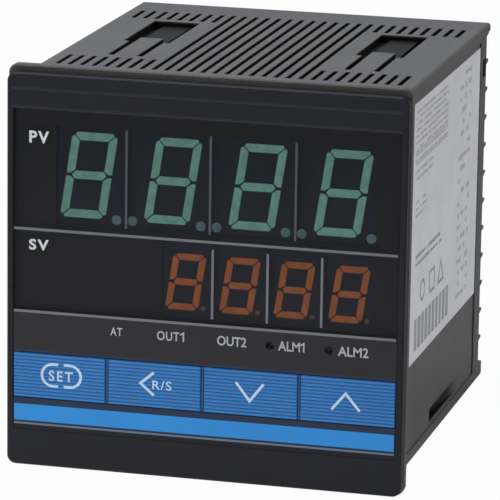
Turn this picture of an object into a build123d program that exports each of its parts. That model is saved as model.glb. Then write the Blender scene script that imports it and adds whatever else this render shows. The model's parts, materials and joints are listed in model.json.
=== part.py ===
from build123d import *

import math
import os

os.makedirs("parts", exist_ok=True)

# Frame of the part, in millimetres: X to the viewer's right, Y into the panel, Z up.
# Y = 0 is the back of the bezel, where it seats on the panel, at the cut-out's centre.

# Bezel and case
bezel_size = 96.0
bezel_overlap = 2.0
bezel_corner = 2.1
bezel_edge = 0.35
flange_thickness = 2.3
frame_thickness = 2.2
side_play = 0.7
top_play = 0.5
body_corner = 0.8
overall_depth = 100.0
block_depth = 11.5
wall = 2.0
sliding_clearance = 0.2

# Front frame, seen from the front, with the sunk sheet area on its face
frame_side_reveal = 0.3
frame_top_reveal = 1.6
frame_bottom_reveal = 0.2
sheet_side_band = 1.5
sheet_top_band = 8.3
sheet_bottom_band = 8.7
sheet_recess = 0.15
skirt_depth = 4.0
skirt_wall = 1.5
ledge = 1.5

# Vents in the top and the bottom of the case
slot_width = 1.2
long_slots = 13
short_slots = 8
vent_side_margin = 4.14
vent_front = 13.5
vent_back_margin = 1.0
front_slot = 11.8
back_slot = 10.4

# Bracket windows, with their spring tongues
window_side_margin = 16.4
window_width = 11.6
window_back_gap = 2.5
floor_thickness = 1.2
pad_width = 7.0
pad_height = 0.8
pad_gap = 0.6
tongue_reach = 5.2
tongue_width = 5.6
tongue_thickness = 1.4
tongue_slot = 1.5
tongue_slot_length = 18.4
tongue_slot_gap = 2.9

# Sides of the case
side_recess = 0.3
side_border = 3.0
notch_back_margin = 19.3
notch_length = 31.0
notch_height = 3.4
notch_margin = 7.4
notch_deep = 2.4
notch_shallow = 0.3
backing_border = 1.0
backing_clearance = 0.3
label_thickness = 0.2
label_front = 12.0
label_back_margin = 0.5
label_top_margin = 4.3
label_bottom_margin = 24.2

# Display window
window_thickness = 1.4
window_gap = 0.1
window_key_gap = 0.8

# Displays: the PV block above the SV block, each with a row of digits and points
display_gap = 0.3
display_split = 1.8
segment_thickness = 0.25
segment_gap = 0.4
corner_clip = 0.6
slant_degrees = 8.6
digits = 4
pv_left_margin = 10.0
pv_right_margin = 4.8
pv_top_margin = 3.7
pv_extra_height = 5.0
pv_first_margin = 2.4
pv_last_margin = 3.55
pv_digit_gap = 9.3
pv_top_border = 1.45
pv_bottom_border = 1.95
pv_stroke = 1.9
pv_dot_radius = 1.15
pv_dot_height = 1.95
pv_dot_offset = 1.9
pv_joint_gap = 3.15
sv_left_margin = 35.6
sv_right_margin = 5.4
sv_bottom_margin = 9.8
sv_first_margin = 1.85
sv_last_margin = 2.65
sv_digit_gap = 5.1
sv_top_border = 3.05
sv_bottom_border = 2.25
sv_stroke = 1.5
sv_dot_radius = 0.55
sv_dot_height = 2.9
sv_dot_gap = 0.35
lamp_radius = 1.0
lamp_height = 5.6
lamp_xs = (-24.6, -13.3, 1.4, 16.0, 30.0)

# Keys and their switches
key_names = ("set", "shift", "down", "up")
key_height = 10.8
key_side_gap = 0.2
key_gap = 0.7
key_strip_gap = 1.7
key_thickness = 1.5
key_proud = 0.25
key_bevel = 0.2
key_travel = 0.6
key_clearance = 0.2
stem_width = 8.0
stem_height = 5.0
stem_back = 1.0
retainer_lip = 1.0
retainer_thickness = 1.3
web_front = -1.7
web_thickness = 1.2
switch_size = 6.0
switch_front = 1.9
plunger_radius = 1.75
plunger_clearance = 0.2
plunger_back = 3.2

# Strips below the keys
strip_bottom_margin = 1.9
strip_side_gap = 0.3
strip_height = 4.3
strip_thickness = 0.5
strip_proud = 0.1
trim_height = 0.5
trim_thickness = 0.1
trim_gap = 0.15

# Chassis arms, rails and the display board
arm_thickness = 1.4
arm_height = 8.0
arm_back_margin = 8.5
rail_height = 1.4
rail_thickness = 1.2
board_front = 5.2
board_thickness = 1.6
board_side_gap = 0.5
board_end_gap = 2.3
boss_side_margin = 6.2
boss_end_margin = 2.6
boss_radius = 2.2
screw_radius = 1.0
screw_head_radius = 2.0
screw_head_height = 1.2
screw_length = 6.0

# Side boards and what they carry
side_board_front_gap = 0.4
side_board_back_margin = 2.5
side_board_end_gap = 4.5
header_thickness = 2.5
header_length = 5.0
header_height = 30.0
core_window_length = 5.0
core_height = 25.0
core_stack = 12.0
core_limb = 5.0
core_back_margin = 9.0
coil_gap = 0.1
capacitors = 3
capacitor_radius = 5.0
capacitor_length = 18.0
capacitor_sides = 24
capacitor_pitch = 24.0
capacitor_front_gap = 12.2
relay_length = 20.0
relay_width = 10.0
relay_height = 15.0
relay_back_margin = 12.0
relay_end_margin = 6.0
relay_pitch = 14.0
chip_size = 14.0
chip_thickness = 1.6
chip_z = 12.0
chip_front_margin = 13.8
spacer_depth = 4.0
spacer_height = 3.0
spacer_end_margin = 4.0

# Terminal block on the back
plate_thickness = 2.5
top_lip = 1.9
bottom_lip = 3.7
lip_round = 0.7
side_wall = 1.7
inner_wall = 1.2
wall_reach = 4.1
barrier_straight = 3.9
barrier_reach = 6.5
barrier_thickness = 1.6
barrier_tip = 0.7
smallest_bay = 6.9
bay_depth = 12.6
latch_window_margin = 8.35
latch_window_height = 4.6
latch_window_reach = 3.6
terminal_width = 5.2
terminal_thickness = 0.8
terminal_end_gap = 0.4
terminal_screw_margin = 5.2
terminal_screw_radius = 1.5
terminal_screw_length = 3.4
terminal_head_radius = 2.7
terminal_head_height = 1.7
washer_size = 5.2
washer_thickness = 0.6
thread_clearance = 0.1
contact_thickness = 0.8
contact_slot = 1.0
contact_reach = 4.5
socket_depth = 7.5
socket_outer_wall = 1.2
socket_inner_wall = 2.5
socket_end_gap = 2.5
spigot_length = 2.5

# Sides of the small round pieces, which are cut as prisms because they are so many
small_sides = 12
thread_sides = 6

# Case and frame, from the sizes above
cutout_size = bezel_size - 2 * bezel_overlap
case_depth = overall_depth - block_depth
body_width = cutout_size - 2 * side_play
body_height = cutout_size - 2 * top_play
inner_width = body_width - 2 * wall
inner_height = body_height - 2 * wall
bezel_front = -(flange_thickness + frame_thickness)
frame_width = bezel_size - 2 * frame_side_reveal
frame_top = bezel_size / 2 - frame_top_reveal
frame_bottom = frame_bottom_reveal - bezel_size / 2
sheet_width = frame_width - 2 * sheet_side_band
sheet_top = frame_top - sheet_top_band
sheet_bottom = frame_bottom + sheet_bottom_band
sheet_front = bezel_front + sheet_recess

# Vents, bracket windows, notches and label
slot_pitch = (body_width - 2 * vent_side_margin) / (long_slots + 2 * short_slots - 1)
vent_back = case_depth - vent_back_margin
window_x = body_width / 2 - window_side_margin
tongue_slot_front = vent_front + front_slot + tongue_slot_gap
window_front = tongue_slot_front + tongue_slot_length
window_length = vent_back - back_slot - window_back_gap - window_front
notch_front = case_depth - notch_back_margin - notch_length
notch_back = notch_front + notch_length
notch_top = notch_margin - body_height / 2
label_back = case_depth - label_back_margin
label_top = body_height / 2 - label_top_margin
label_bottom = label_bottom_margin - body_height / 2

# Strip, keys and display window, one above the other from the foot of the sheet area
strip_width = sheet_width - 2 * strip_side_gap
strip_bottom = sheet_bottom + strip_bottom_margin
strip_top = strip_bottom + strip_height
trim_middle = strip_bottom - trim_gap - trim_height / 2
key_row_width = sheet_width - 2 * key_side_gap
key_width = (key_row_width - (len(key_names) - 1) * key_gap) / len(key_names)
key_bottom = strip_top + key_strip_gap
key_top = key_bottom + key_height
key_middle = (key_top + key_bottom) / 2
key_front = sheet_front - key_proud
key_xs = [
    (i - (len(key_names) - 1) / 2) * (key_width + key_gap)
    for i in range(len(key_names))
]
window_bottom = key_top + window_key_gap
glass_back = sheet_front + window_thickness
lamp_z = window_bottom + lamp_height

# Displays
display_front = glass_back + display_gap + segment_thickness
pv_left = pv_left_margin - sheet_width / 2
pv_right = sheet_width / 2 - pv_right_margin
pv_top = sheet_top - pv_top_margin
sv_left = sv_left_margin - sheet_width / 2
sv_right = sheet_width / 2 - sv_right_margin
sv_bottom = window_bottom + sv_bottom_margin
sv_top = sv_bottom + (pv_top - sv_bottom - display_split - pv_extra_height) / 2
pv_bottom = sv_top + display_split

# Chassis and boards
arm_outer = inner_width / 2 - sliding_clearance
arm_inner = arm_outer - arm_thickness
arm_back = case_depth - arm_back_margin
board_back = board_front + board_thickness
board_half_width = arm_inner - board_side_gap
board_half_height = inner_height / 2 - board_end_gap
boss_x = board_half_width - boss_side_margin
boss_z = board_half_height - boss_end_margin
side_board_inner = arm_inner - board_thickness
side_board_half = inner_height / 2 - side_board_end_gap
side_board_front = board_back + side_board_front_gap
side_board_back = case_depth - side_board_back_margin

# Terminal block, with as many bays in each column as fit
plate_back = case_depth + plate_thickness
well_height = body_height - top_lip - bottom_lip
well_middle = (bottom_lip - top_lip) / 2
terminals = int(well_height / smallest_bay)
terminal_pitch = well_height / terminals
bay_inner = body_width / 2 - bay_depth
bay_outer = body_width / 2 - side_wall
terminal_screw_x = body_width / 2 - terminal_screw_margin
latch_window_z = well_middle + well_height / 2 - latch_window_margin
contact_x = side_board_inner - sliding_clearance - socket_inner_wall
contact_front = case_depth - contact_reach
socket_front = case_depth - socket_depth
socket_half = inner_height / 2 - socket_end_gap

# The case wall is thicker behind each notch, as far as the side boards leave room
backing_top = notch_top + backing_border
backing_reach = inner_width / 2 - side_board_inner - board_thickness - backing_clearance


def facing(y):
    """Plane across the depth at y, seen from the front: local X is X, local Y is Z."""
    return Plane(origin=(0, y, 0), x_dir=(1, 0, 0), z_dir=(0, -1, 0))


def side_plane(x):
    """Plane across the width at x: local X is Y, local Y is Z, and its normal is +X."""
    return Plane(origin=(x, 0, 0), x_dir=(0, 1, 0), z_dir=(1, 0, 0))


def finish(builder, name):
    """Label a finished piece and write its file."""
    builder.part.label = name
    export_step(builder.part, f"parts/{name}.step")


# Case shell: flange, sleeve, vents, bracket windows and guide rails in one moulding
with BuildPart() as case_shell:
    with BuildSketch(facing(-flange_thickness)):
        RectangleRounded(bezel_size, bezel_size, bezel_corner)
    extrude(amount=-flange_thickness)
    chamfer(case_shell.faces().sort_by(Axis.Y)[0].edges(), bezel_edge)
    with BuildSketch(facing(0)):
        RectangleRounded(body_width, body_height, body_corner)
    extrude(amount=-case_depth)
    with BuildSketch(facing(-flange_thickness)):
        Rectangle(inner_width, inner_height)
    extrude(amount=-(flange_thickness + case_depth), mode=Mode.SUBTRACT)

    # Floors under the bracket windows
    for side in (1, -1):
        with BuildSketch(Plane.XY.offset(side * inner_height / 2)):
            with Locations(
                (-window_x, window_front + window_length / 2),
                (window_x, window_front + window_length / 2),
            ):
                Rectangle(
                    window_width + 2 * floor_thickness,
                    window_length + 2 * floor_thickness,
                )
        extrude(amount=-side * floor_thickness)

    # Rails for the chassis arms
    for side in (1, -1):
        for level in (1, -1):
            rail_z = arm_height / 2 + sliding_clearance + rail_thickness / 2
            with BuildSketch(side_plane(side * inner_width / 2)):
                with Locations(((arm_back + skirt_depth) / 2, level * rail_z)):
                    Rectangle(arm_back - skirt_depth, rail_thickness)
            extrude(amount=-side * rail_height)

    # Vents: a block of long slots between two rows of short ones
    long_half = (long_slots - 1) / 2
    short_xs = [
        side * (long_half + 1 + i) * slot_pitch
        for side in (-1, 1)
        for i in range(short_slots)
    ]
    for side in (1, -1):
        with BuildSketch(Plane.XY.offset(side * body_height / 2)):
            with Locations((0, (vent_front + vent_back) / 2)):
                with GridLocations(slot_pitch, 0, long_slots, 1):
                    Rectangle(slot_width, vent_back - vent_front)
            with Locations([(x, vent_front + front_slot / 2) for x in short_xs]):
                Rectangle(slot_width, front_slot)
            with Locations([(x, vent_back - back_slot / 2) for x in short_xs]):
                Rectangle(slot_width, back_slot)
        extrude(amount=-side * wall, mode=Mode.SUBTRACT)

    # Bracket windows: each leaves a tongue that two slots set free
    tongue_back = window_front + tongue_reach
    slot_x = (tongue_width + tongue_slot) / 2
    for side in (1, -1):
        with BuildSketch(Plane.XY.offset(side * body_height / 2)):
            for x in (-window_x, window_x):
                with Locations((x, window_front + window_length / 2)):
                    Rectangle(window_width, window_length)
                with Locations((x, window_front + tongue_reach / 2)):
                    Rectangle(tongue_width, tongue_reach, mode=Mode.SUBTRACT)
                with Locations(
                    (x - slot_x, (tongue_slot_front + window_front) / 2),
                    (x + slot_x, (tongue_slot_front + window_front) / 2),
                ):
                    Rectangle(tongue_slot, window_front - tongue_slot_front)
        extrude(amount=-side * wall, mode=Mode.SUBTRACT)
        with BuildSketch(Plane.XY.offset(side * inner_height / 2)):
            with Locations(
                (-window_x, (tongue_slot_front + tongue_back) / 2),
                (window_x, (tongue_slot_front + tongue_back) / 2),
            ):
                Rectangle(tongue_width, tongue_back - tongue_slot_front)
        extrude(amount=side * (wall - tongue_thickness), mode=Mode.SUBTRACT)

    # Raised pad on each window's floor, behind the tongue
    window_back = window_front + window_length
    pad_front = tongue_back + pad_gap
    for side in (1, -1):
        with BuildSketch(Plane.XY.offset(side * inner_height / 2)):
            with Locations(
                (-window_x, (pad_front + window_back) / 2),
                (window_x, (pad_front + window_back) / 2),
            ):
                Rectangle(pad_width, window_back - pad_front)
        extrude(amount=side * pad_height)

    # Sunk side panels, and the sloping notch near the bottom edge of each side
    for side in (1, -1):
        with BuildSketch(side_plane(side * inner_width / 2)):
            with Locations(
                (
                    (notch_front + notch_back) / 2,
                    (backing_top - inner_height / 2) / 2,
                )
            ):
                Rectangle(
                    notch_length + 2 * backing_border, backing_top + inner_height / 2
                )
        extrude(amount=-side * backing_reach)
        with BuildSketch(side_plane(side * body_width / 2)):
            with Locations((case_depth / 2, 0)):
                Rectangle(case_depth, body_height - 2 * side_border)
        extrude(amount=-side * side_recess, mode=Mode.SUBTRACT)
        with BuildSketch(Plane.XY.offset(notch_top)):
            with BuildLine():
                Polyline(
                    (side * body_width / 2, notch_front),
                    (side * (body_width / 2 - notch_deep), notch_front),
                    (side * (body_width / 2 - notch_shallow), notch_back),
                    (side * body_width / 2, notch_back),
                    close=True,
                )
            make_face()
        extrude(amount=-notch_height, mode=Mode.SUBTRACT)
finish(case_shell, "case_shell")

# Data label in the sunk panel on the right side
with BuildPart() as side_label:
    with BuildSketch(side_plane(body_width / 2 - side_recess)):
        with Locations(((label_front + label_back) / 2, (label_top + label_bottom) / 2)):
            Rectangle(label_back - label_front, label_top - label_bottom)
    extrude(amount=label_thickness)
finish(side_label, "side_label")

# Terminal block: back plate, end lips, side walls and barriers in one moulding
barrier_zs = [
    well_middle + (i - terminals / 2) * terminal_pitch for i in range(terminals + 1)
]
terminal_zs = [z + terminal_pitch / 2 for z in barrier_zs[:-1]]
contact_middle = contact_x - contact_thickness / 2
terminal_spots = [(side * terminal_screw_x, z) for side in (-1, 1) for z in terminal_zs]
grip = terminal_thickness + washer_thickness
pilot_depth = terminal_screw_length - grip + thread_clearance
with BuildPart() as terminal_block:
    with BuildSketch(facing(case_depth)):
        RectangleRounded(body_width, body_height, body_corner)
    extrude(amount=-(overall_depth - case_depth))
    with BuildSketch(facing(plate_back)):
        with Locations((0, well_middle)):
            Rectangle(2 * body_width, well_height)
    extrude(amount=-(overall_depth - plate_back), mode=Mode.SUBTRACT)
    lip_faces = terminal_block.faces().filter_by(Axis.Y).sort_by(Axis.Y)[-2:]
    lip_rims = lip_faces.edges().filter_by(
        lambda edge: abs(edge.center().Z - well_middle) > (well_height + lip_round) / 2
    )
    fillet(lip_rims, lip_round)
    with BuildSketch(facing(plate_back)):
        for side in (1, -1):
            with Locations((side * (body_width - side_wall) / 2, well_middle)):
                Rectangle(side_wall, well_height)
            with Locations((side * (bay_inner + inner_wall / 2), well_middle)):
                Rectangle(inner_wall, well_height)
    extrude(amount=-wall_reach)

    # Barriers between the bays, thinner towards their crests
    for side in (1, -1):
        with BuildSketch(side_plane(side * bay_inner)):
            for z in barrier_zs:
                with BuildLine():
                    Polyline(
                        (plate_back, z - barrier_thickness / 2),
                        (plate_back + barrier_straight, z - barrier_thickness / 2),
                        (plate_back + barrier_reach, z - barrier_tip / 2),
                        (plate_back + barrier_reach, z + barrier_tip / 2),
                        (plate_back + barrier_straight, z + barrier_thickness / 2),
                        (plate_back, z + barrier_thickness / 2),
                        close=True,
                    )
                make_face()
        extrude(amount=side * bay_depth)

    # Snap windows in the side walls
    with BuildSketch(facing(plate_back)):
        with Locations((0, latch_window_z)):
            Rectangle(2 * body_width, latch_window_height)
        Rectangle(2 * bay_outer, body_height, mode=Mode.SUBTRACT)
    extrude(amount=-latch_window_reach, mode=Mode.SUBTRACT)

    # Screw pilots, and a slot for each contact tail
    with BuildSketch(facing(plate_back)):
        with Locations(terminal_spots):
            RegularPolygon(terminal_screw_radius + thread_clearance, thread_sides)
    extrude(amount=pilot_depth, mode=Mode.SUBTRACT)
    with BuildSketch(facing(case_depth)):
        for side in (1, -1):
            with Locations([(side * contact_middle, z) for z in terminal_zs]):
                Rectangle(contact_slot, terminal_width + 2 * sliding_clearance)
    extrude(amount=-plate_thickness, mode=Mode.SUBTRACT)

    # Spigots that locate the block inside the sleeve
    for side in (1, -1):
        spigot_z = side * (inner_height / 2 - sliding_clearance - skirt_wall / 2)
        with BuildSketch(facing(case_depth - spigot_length)):
            with Locations((0, spigot_z)):
                Rectangle(2 * bay_inner, skirt_wall)
        extrude(amount=-spigot_length)
finish(terminal_block, "terminal_block")

# Terminal plates, one bent strip for each bay, with its tail through the back plate
plate_start = bay_inner + inner_wall + terminal_end_gap
plate_end = bay_outer - terminal_end_gap
with BuildPart() as terminal_plates:
    for z in terminal_zs:
        with BuildSketch(Plane.XY.offset(z - terminal_width / 2)):
            for side in (1, -1):
                with BuildLine():
                    Polyline(
                        (side * plate_start, plate_back),
                        (side * (contact_x - contact_thickness), plate_back),
                        (side * (contact_x - contact_thickness), contact_front),
                        (side * contact_x, contact_front),
                        (side * contact_x, plate_back),
                        (side * plate_end, plate_back),
                        (side * plate_end, plate_back + terminal_thickness),
                        (side * plate_start, plate_back + terminal_thickness),
                        close=True,
                    )
                make_face()
        extrude(amount=terminal_width)
    with BuildSketch(facing(plate_back)):
        with Locations(terminal_spots):
            RegularPolygon(terminal_screw_radius + thread_clearance, thread_sides)
    extrude(amount=-terminal_thickness, mode=Mode.SUBTRACT)
finish(terminal_plates, "terminal_plates")

# Square clamp washers under the screw heads
washer_front = plate_back + terminal_thickness
with BuildPart() as clamp_washers:
    with BuildSketch(facing(washer_front)):
        with Locations(terminal_spots):
            Rectangle(washer_size, washer_size)
            RegularPolygon(
                terminal_screw_radius + thread_clearance,
                thread_sides,
                mode=Mode.SUBTRACT,
            )
    extrude(amount=-washer_thickness)
finish(clamp_washers, "clamp_washers")

# Terminal screws
head_seat = washer_front + washer_thickness
with BuildPart() as terminal_screws:
    with BuildSketch(facing(head_seat)):
        with Locations(terminal_spots):
            RegularPolygon(terminal_head_radius, small_sides)
    extrude(amount=-terminal_head_height)
    with BuildSketch(facing(head_seat)):
        with Locations(terminal_spots):
            RegularPolygon(terminal_screw_radius, thread_sides)
    extrude(amount=terminal_screw_length)
finish(terminal_screws, "terminal_screws")

# Edge sockets that take the back edges of the side boards
groove = board_thickness + 2 * sliding_clearance
socket_width = socket_inner_wall + groove + socket_outer_wall
for side, name in ((-1, "left_edge_socket"), (1, "right_edge_socket")):
    with BuildPart() as edge_socket:
        with BuildSketch(facing(socket_front)):
            with Locations((side * (contact_x + socket_width / 2), 0)):
                Rectangle(socket_width, 2 * socket_half)
        extrude(amount=-(case_depth - socket_front))
        with BuildSketch(facing(socket_front)):
            with Locations((side * (side_board_inner + board_thickness / 2), 0)):
                Rectangle(groove, 2 * socket_half)
        extrude(
            amount=-(side_board_back + sliding_clearance - socket_front),
            mode=Mode.SUBTRACT,
        )
    finish(edge_socket, name)

# Front frame: face plate, window pocket, key web, skirt, bosses and chassis arms
with BuildPart() as front_frame:
    with BuildSketch(facing(bezel_front)):
        with Locations((0, (frame_top + frame_bottom) / 2)):
            RectangleRounded(frame_width, frame_top - frame_bottom, bezel_corner)
    extrude(amount=-frame_thickness)
    chamfer(front_frame.faces().sort_by(Axis.Y)[0].edges(), bezel_edge)

    # Skirt that enters the sleeve
    skirt_width = inner_width - 2 * sliding_clearance
    skirt_height = inner_height - 2 * sliding_clearance
    with BuildSketch(facing(-flange_thickness)):
        Rectangle(skirt_width, skirt_height)
        Rectangle(
            skirt_width - 2 * skirt_wall,
            skirt_height - 2 * skirt_wall,
            mode=Mode.SUBTRACT,
        )
    extrude(amount=-skirt_depth)

    # Sheet recess, pocket for the window and opening for the displays
    with BuildSketch(facing(bezel_front)):
        with Locations((0, (sheet_top + sheet_bottom) / 2)):
            Rectangle(sheet_width, sheet_top - sheet_bottom)
    extrude(amount=-sheet_recess, mode=Mode.SUBTRACT)
    with BuildSketch(facing(sheet_front)):
        with Locations((0, (sheet_top + window_bottom) / 2)):
            Rectangle(sheet_width, sheet_top - window_bottom)
    extrude(amount=-window_thickness, mode=Mode.SUBTRACT)
    with BuildSketch(facing(glass_back)):
        with Locations((0, (sheet_top + window_bottom) / 2)):
            Rectangle(
                skirt_width - 2 * skirt_wall, sheet_top - window_bottom - 2 * ledge
            )
    extrude(amount=-frame_thickness, mode=Mode.SUBTRACT)

    # Key opening, and behind it the web with a hole for each stem
    with BuildSketch(facing(sheet_front)):
        with Locations((0, key_middle)):
            Rectangle(
                key_row_width + 2 * key_clearance, key_height + 2 * key_clearance
            )
    extrude(amount=-frame_thickness, mode=Mode.SUBTRACT)
    with BuildSketch(facing(web_front)):
        with Locations((0, key_middle)):
            Rectangle(skirt_width - skirt_wall, key_height + 4 * skirt_wall)
        with Locations([(x, key_middle) for x in key_xs]):
            Rectangle(
                stem_width + 2 * key_clearance,
                stem_height + 2 * key_clearance,
                mode=Mode.SUBTRACT,
            )
    extrude(amount=-web_thickness)
    for edge_z in (key_middle + key_height / 2, key_middle - key_height / 2):
        outward = math.copysign(1, edge_z - key_middle)
        with BuildSketch(facing(-flange_thickness)):
            with Locations((0, edge_z + outward * 1.5 * skirt_wall)):
                Rectangle(skirt_width - skirt_wall, skirt_wall)
        extrude(amount=-(web_front + flange_thickness + web_thickness))

    # Pocket for the coloured strip
    with BuildSketch(facing(sheet_front)):
        with Locations((0, (strip_top + strip_bottom) / 2)):
            Rectangle(strip_width, strip_height)
    extrude(amount=-(strip_thickness - strip_proud), mode=Mode.SUBTRACT)

    # Bosses for the display board
    boss_spots = [(x, z) for x in (-boss_x, boss_x) for z in (-boss_z, boss_z)]
    with BuildSketch(facing(-flange_thickness)):
        with Locations(boss_spots):
            RegularPolygon(boss_radius, small_sides)
    extrude(amount=-(board_front + flange_thickness))
    with BuildSketch(facing(board_front)):
        with Locations(boss_spots):
            RegularPolygon(screw_radius + thread_clearance, thread_sides)
    extrude(amount=screw_length - board_thickness + thread_clearance, mode=Mode.SUBTRACT)

    # Chassis arms along the sleeve's side walls
    for side in (1, -1):
        with BuildSketch(side_plane(side * arm_outer)):
            with Locations(((arm_back - flange_thickness) / 2, 0)):
                Rectangle(arm_back + flange_thickness, arm_height)
        extrude(amount=-side * arm_thickness)
finish(front_frame, "front_frame")

# Smoked display window, flush with the sheet area
with BuildPart() as display_window:
    with BuildSketch(facing(sheet_front)):
        with Locations((0, (sheet_top + window_bottom) / 2)):
            Rectangle(
                sheet_width - 2 * window_gap, sheet_top - window_bottom - 2 * window_gap
            )
    extrude(amount=-window_thickness)
finish(display_window, "display_window")

# Coloured strip and silver trim line below the keys
with BuildPart() as name_strip:
    with BuildSketch(facing(sheet_front - strip_proud)):
        with Locations((0, (strip_top + strip_bottom) / 2)):
            Rectangle(strip_width, strip_height)
    extrude(amount=-strip_thickness)
finish(name_strip, "name_strip")

with BuildPart() as trim_line:
    with BuildSketch(facing(sheet_front - trim_thickness)):
        with Locations((0, trim_middle)):
            Rectangle(strip_width, trim_height)
    extrude(amount=-trim_thickness)
finish(trim_line, "trim_line")

# Keys, each with its stem and retaining lip, and the switch plunger that it drives
for key_name, key_x in zip(key_names, key_xs):
    with BuildPart() as key:
        with BuildSketch(facing(key_front)):
            with Locations((key_x, key_middle)):
                Rectangle(key_width, key_height)
        extrude(amount=-key_thickness)
        chamfer(key.faces().sort_by(Axis.Y)[0].edges(), key_bevel)
        with BuildSketch(facing(key_front + key_thickness)):
            with Locations((key_x, key_middle)):
                Rectangle(stem_width, stem_height)
        extrude(amount=-(stem_back - key_front - key_thickness))
        with BuildSketch(facing(stem_back - retainer_thickness)):
            with Locations((key_x, key_middle)):
                Rectangle(stem_width + 2 * retainer_lip, stem_height)
        extrude(amount=-retainer_thickness)
    finish(key, f"key_{key_name}")

    with BuildPart() as plunger:
        with BuildSketch(facing(stem_back)):
            with Locations((key_x, key_middle)):
                RegularPolygon(plunger_radius, small_sides)
        extrude(amount=-(plunger_back - stem_back))
    finish(plunger, f"plunger_{key_name}")

# Bodies of the four key switches
with BuildPart() as key_switches:
    with BuildSketch(facing(switch_front)):
        with Locations([(x, key_middle) for x in key_xs]):
            Rectangle(switch_size, switch_size)
    extrude(amount=-(board_front - switch_front))
    with BuildSketch(facing(switch_front)):
        with Locations([(x, key_middle) for x in key_xs]):
            RegularPolygon(plunger_radius + plunger_clearance, small_sides)
    extrude(
        amount=-(plunger_back + 2 * key_travel - switch_front), mode=Mode.SUBTRACT
    )
finish(key_switches, "key_switches")

# Display board
with BuildPart() as display_board:
    with BuildSketch(facing(board_front)):
        Rectangle(2 * board_half_width, 2 * board_half_height)
        with Locations(boss_spots):
            RegularPolygon(
                screw_radius + thread_clearance, thread_sides, mode=Mode.SUBTRACT
            )
    extrude(amount=-board_thickness)
finish(display_board, "display_board")

# Screws that hold the display board to the frame
with BuildPart() as frame_screws:
    with BuildSketch(facing(board_back)):
        with Locations(boss_spots):
            RegularPolygon(screw_head_radius, small_sides)
    extrude(amount=-screw_head_height)
    with BuildSketch(facing(board_back)):
        with Locations(boss_spots):
            RegularPolygon(screw_radius, thread_sides)
    extrude(amount=screw_length)
finish(frame_screws, "frame_screws")


# Displays: dark blocks that carry slanted bars and points
def digit_bars(x, middle, width, height, stroke):
    """Corners of the seven bars of a digit whose outline is width by height.

    The bars at the ends of the digit meet the upright ones at mitred, clipped corners.
    The middle bar has pointed ends, and the upright bars give way to them.
    """
    right, top = width / 2, height / 2
    clip = stroke * corner_clip
    inner_x, inner_top = right - stroke, top - stroke
    end_bar = [
        (right - clip, top),
        (right - clip / 2 - segment_gap / 2, top - clip / 2),
        (inner_x - segment_gap / 2, inner_top),
    ]
    end_bar += [(-u, v) for u, v in reversed(end_bar)]
    upright = [
        (right, top - clip),
        (right - clip / 2, top - clip / 2 - segment_gap / 2),
        (inner_x, inner_top - segment_gap / 2),
        (inner_x, stroke / 2 + segment_gap / 2),
        (right - stroke / 2, segment_gap),
        (right, segment_gap),
    ]
    middle_bar = [
        (inner_x - segment_gap / 2, stroke / 2),
        (right - stroke / 2 - segment_gap, 0),
        (inner_x - segment_gap / 2, -stroke / 2),
    ]
    middle_bar += [(-u, v) for u, v in reversed(middle_bar)]
    bars = [middle_bar]
    for flip in (1, -1):
        bars.append([(u, flip * v) for u, v in end_bar])
        for mirror in (1, -1):
            bars.append([(mirror * u, flip * v) for u, v in upright])
    slant = math.tan(math.radians(slant_degrees))
    return [[(x + u + v * slant, middle + v) for u, v in bar] for bar in bars]


def display_block(name, left, right, top, bottom):
    """A display's moulded block, standing on the board behind it."""
    with BuildPart() as block:
        with BuildSketch(facing(display_front)):
            with Locations(((left + right) / 2, (top + bottom) / 2)):
                Rectangle(right - left, top - bottom)
        extrude(amount=-(board_front - display_front))
    finish(block, name)


def display_bars(name, first, pitch, middle, width, height, stroke):
    """The bars of a row of digits, on the face of their block."""
    with BuildPart() as bars:
        with BuildSketch(facing(display_front - segment_thickness)):
            for i in range(digits):
                x = first + i * pitch
                for outline in digit_bars(x, middle, width, height, stroke):
                    with BuildLine():
                        Polyline(*outline, close=True)
                    make_face()
        extrude(amount=-segment_thickness)
    finish(bars, name)


def display_points(name, spots, radius):
    """The round points of a row of digits, on the face of their block."""
    with BuildPart() as points:
        with BuildSketch(facing(display_front - segment_thickness)):
            with Locations(spots):
                RegularPolygon(radius, small_sides)
        extrude(amount=-segment_thickness)
    finish(points, name)


def row_of_digits(left, right, first_margin, last_margin, gap):
    """Width of each digit in a block's row, their pitch and the middle of the first."""
    free = right - left - first_margin - last_margin - (digits - 1) * gap
    width = free / digits
    return width, width + gap, left + first_margin + width / 2


display_block("pv_display", pv_left, pv_right, pv_top, pv_bottom)
pv_width, pv_pitch, pv_first = row_of_digits(
    pv_left, pv_right, pv_first_margin, pv_last_margin, pv_digit_gap
)
pv_height = pv_top - pv_bottom - pv_top_border - pv_bottom_border
pv_middle = pv_bottom + pv_bottom_border + pv_height / 2
display_bars(
    "pv_segments", pv_first, pv_pitch, pv_middle, pv_width, pv_height, pv_stroke
)
pv_points = [
    (
        pv_first + i * pv_pitch + pv_width / 2 + pv_joint_gap + side * pv_dot_offset,
        pv_bottom + pv_dot_height,
    )
    for i in range(digits)
    for side in (-1, 1)
][:-1]
display_points("pv_points", pv_points, pv_dot_radius)

display_block("sv_display", sv_left, sv_right, sv_top, sv_bottom)
sv_width, sv_pitch, sv_first = row_of_digits(
    sv_left, sv_right, sv_first_margin, sv_last_margin, sv_digit_gap
)
sv_height = sv_top - sv_bottom - sv_top_border - sv_bottom_border
sv_middle = sv_bottom + sv_bottom_border + sv_height / 2
display_bars(
    "sv_segments", sv_first, sv_pitch, sv_middle, sv_width, sv_height, sv_stroke
)
sv_points = [
    (sv_first + i * sv_pitch + sv_width / 2 + sv_dot_gap, sv_bottom + sv_dot_height)
    for i in range(digits)
]
display_points("sv_points", sv_points, sv_dot_radius)

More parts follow.
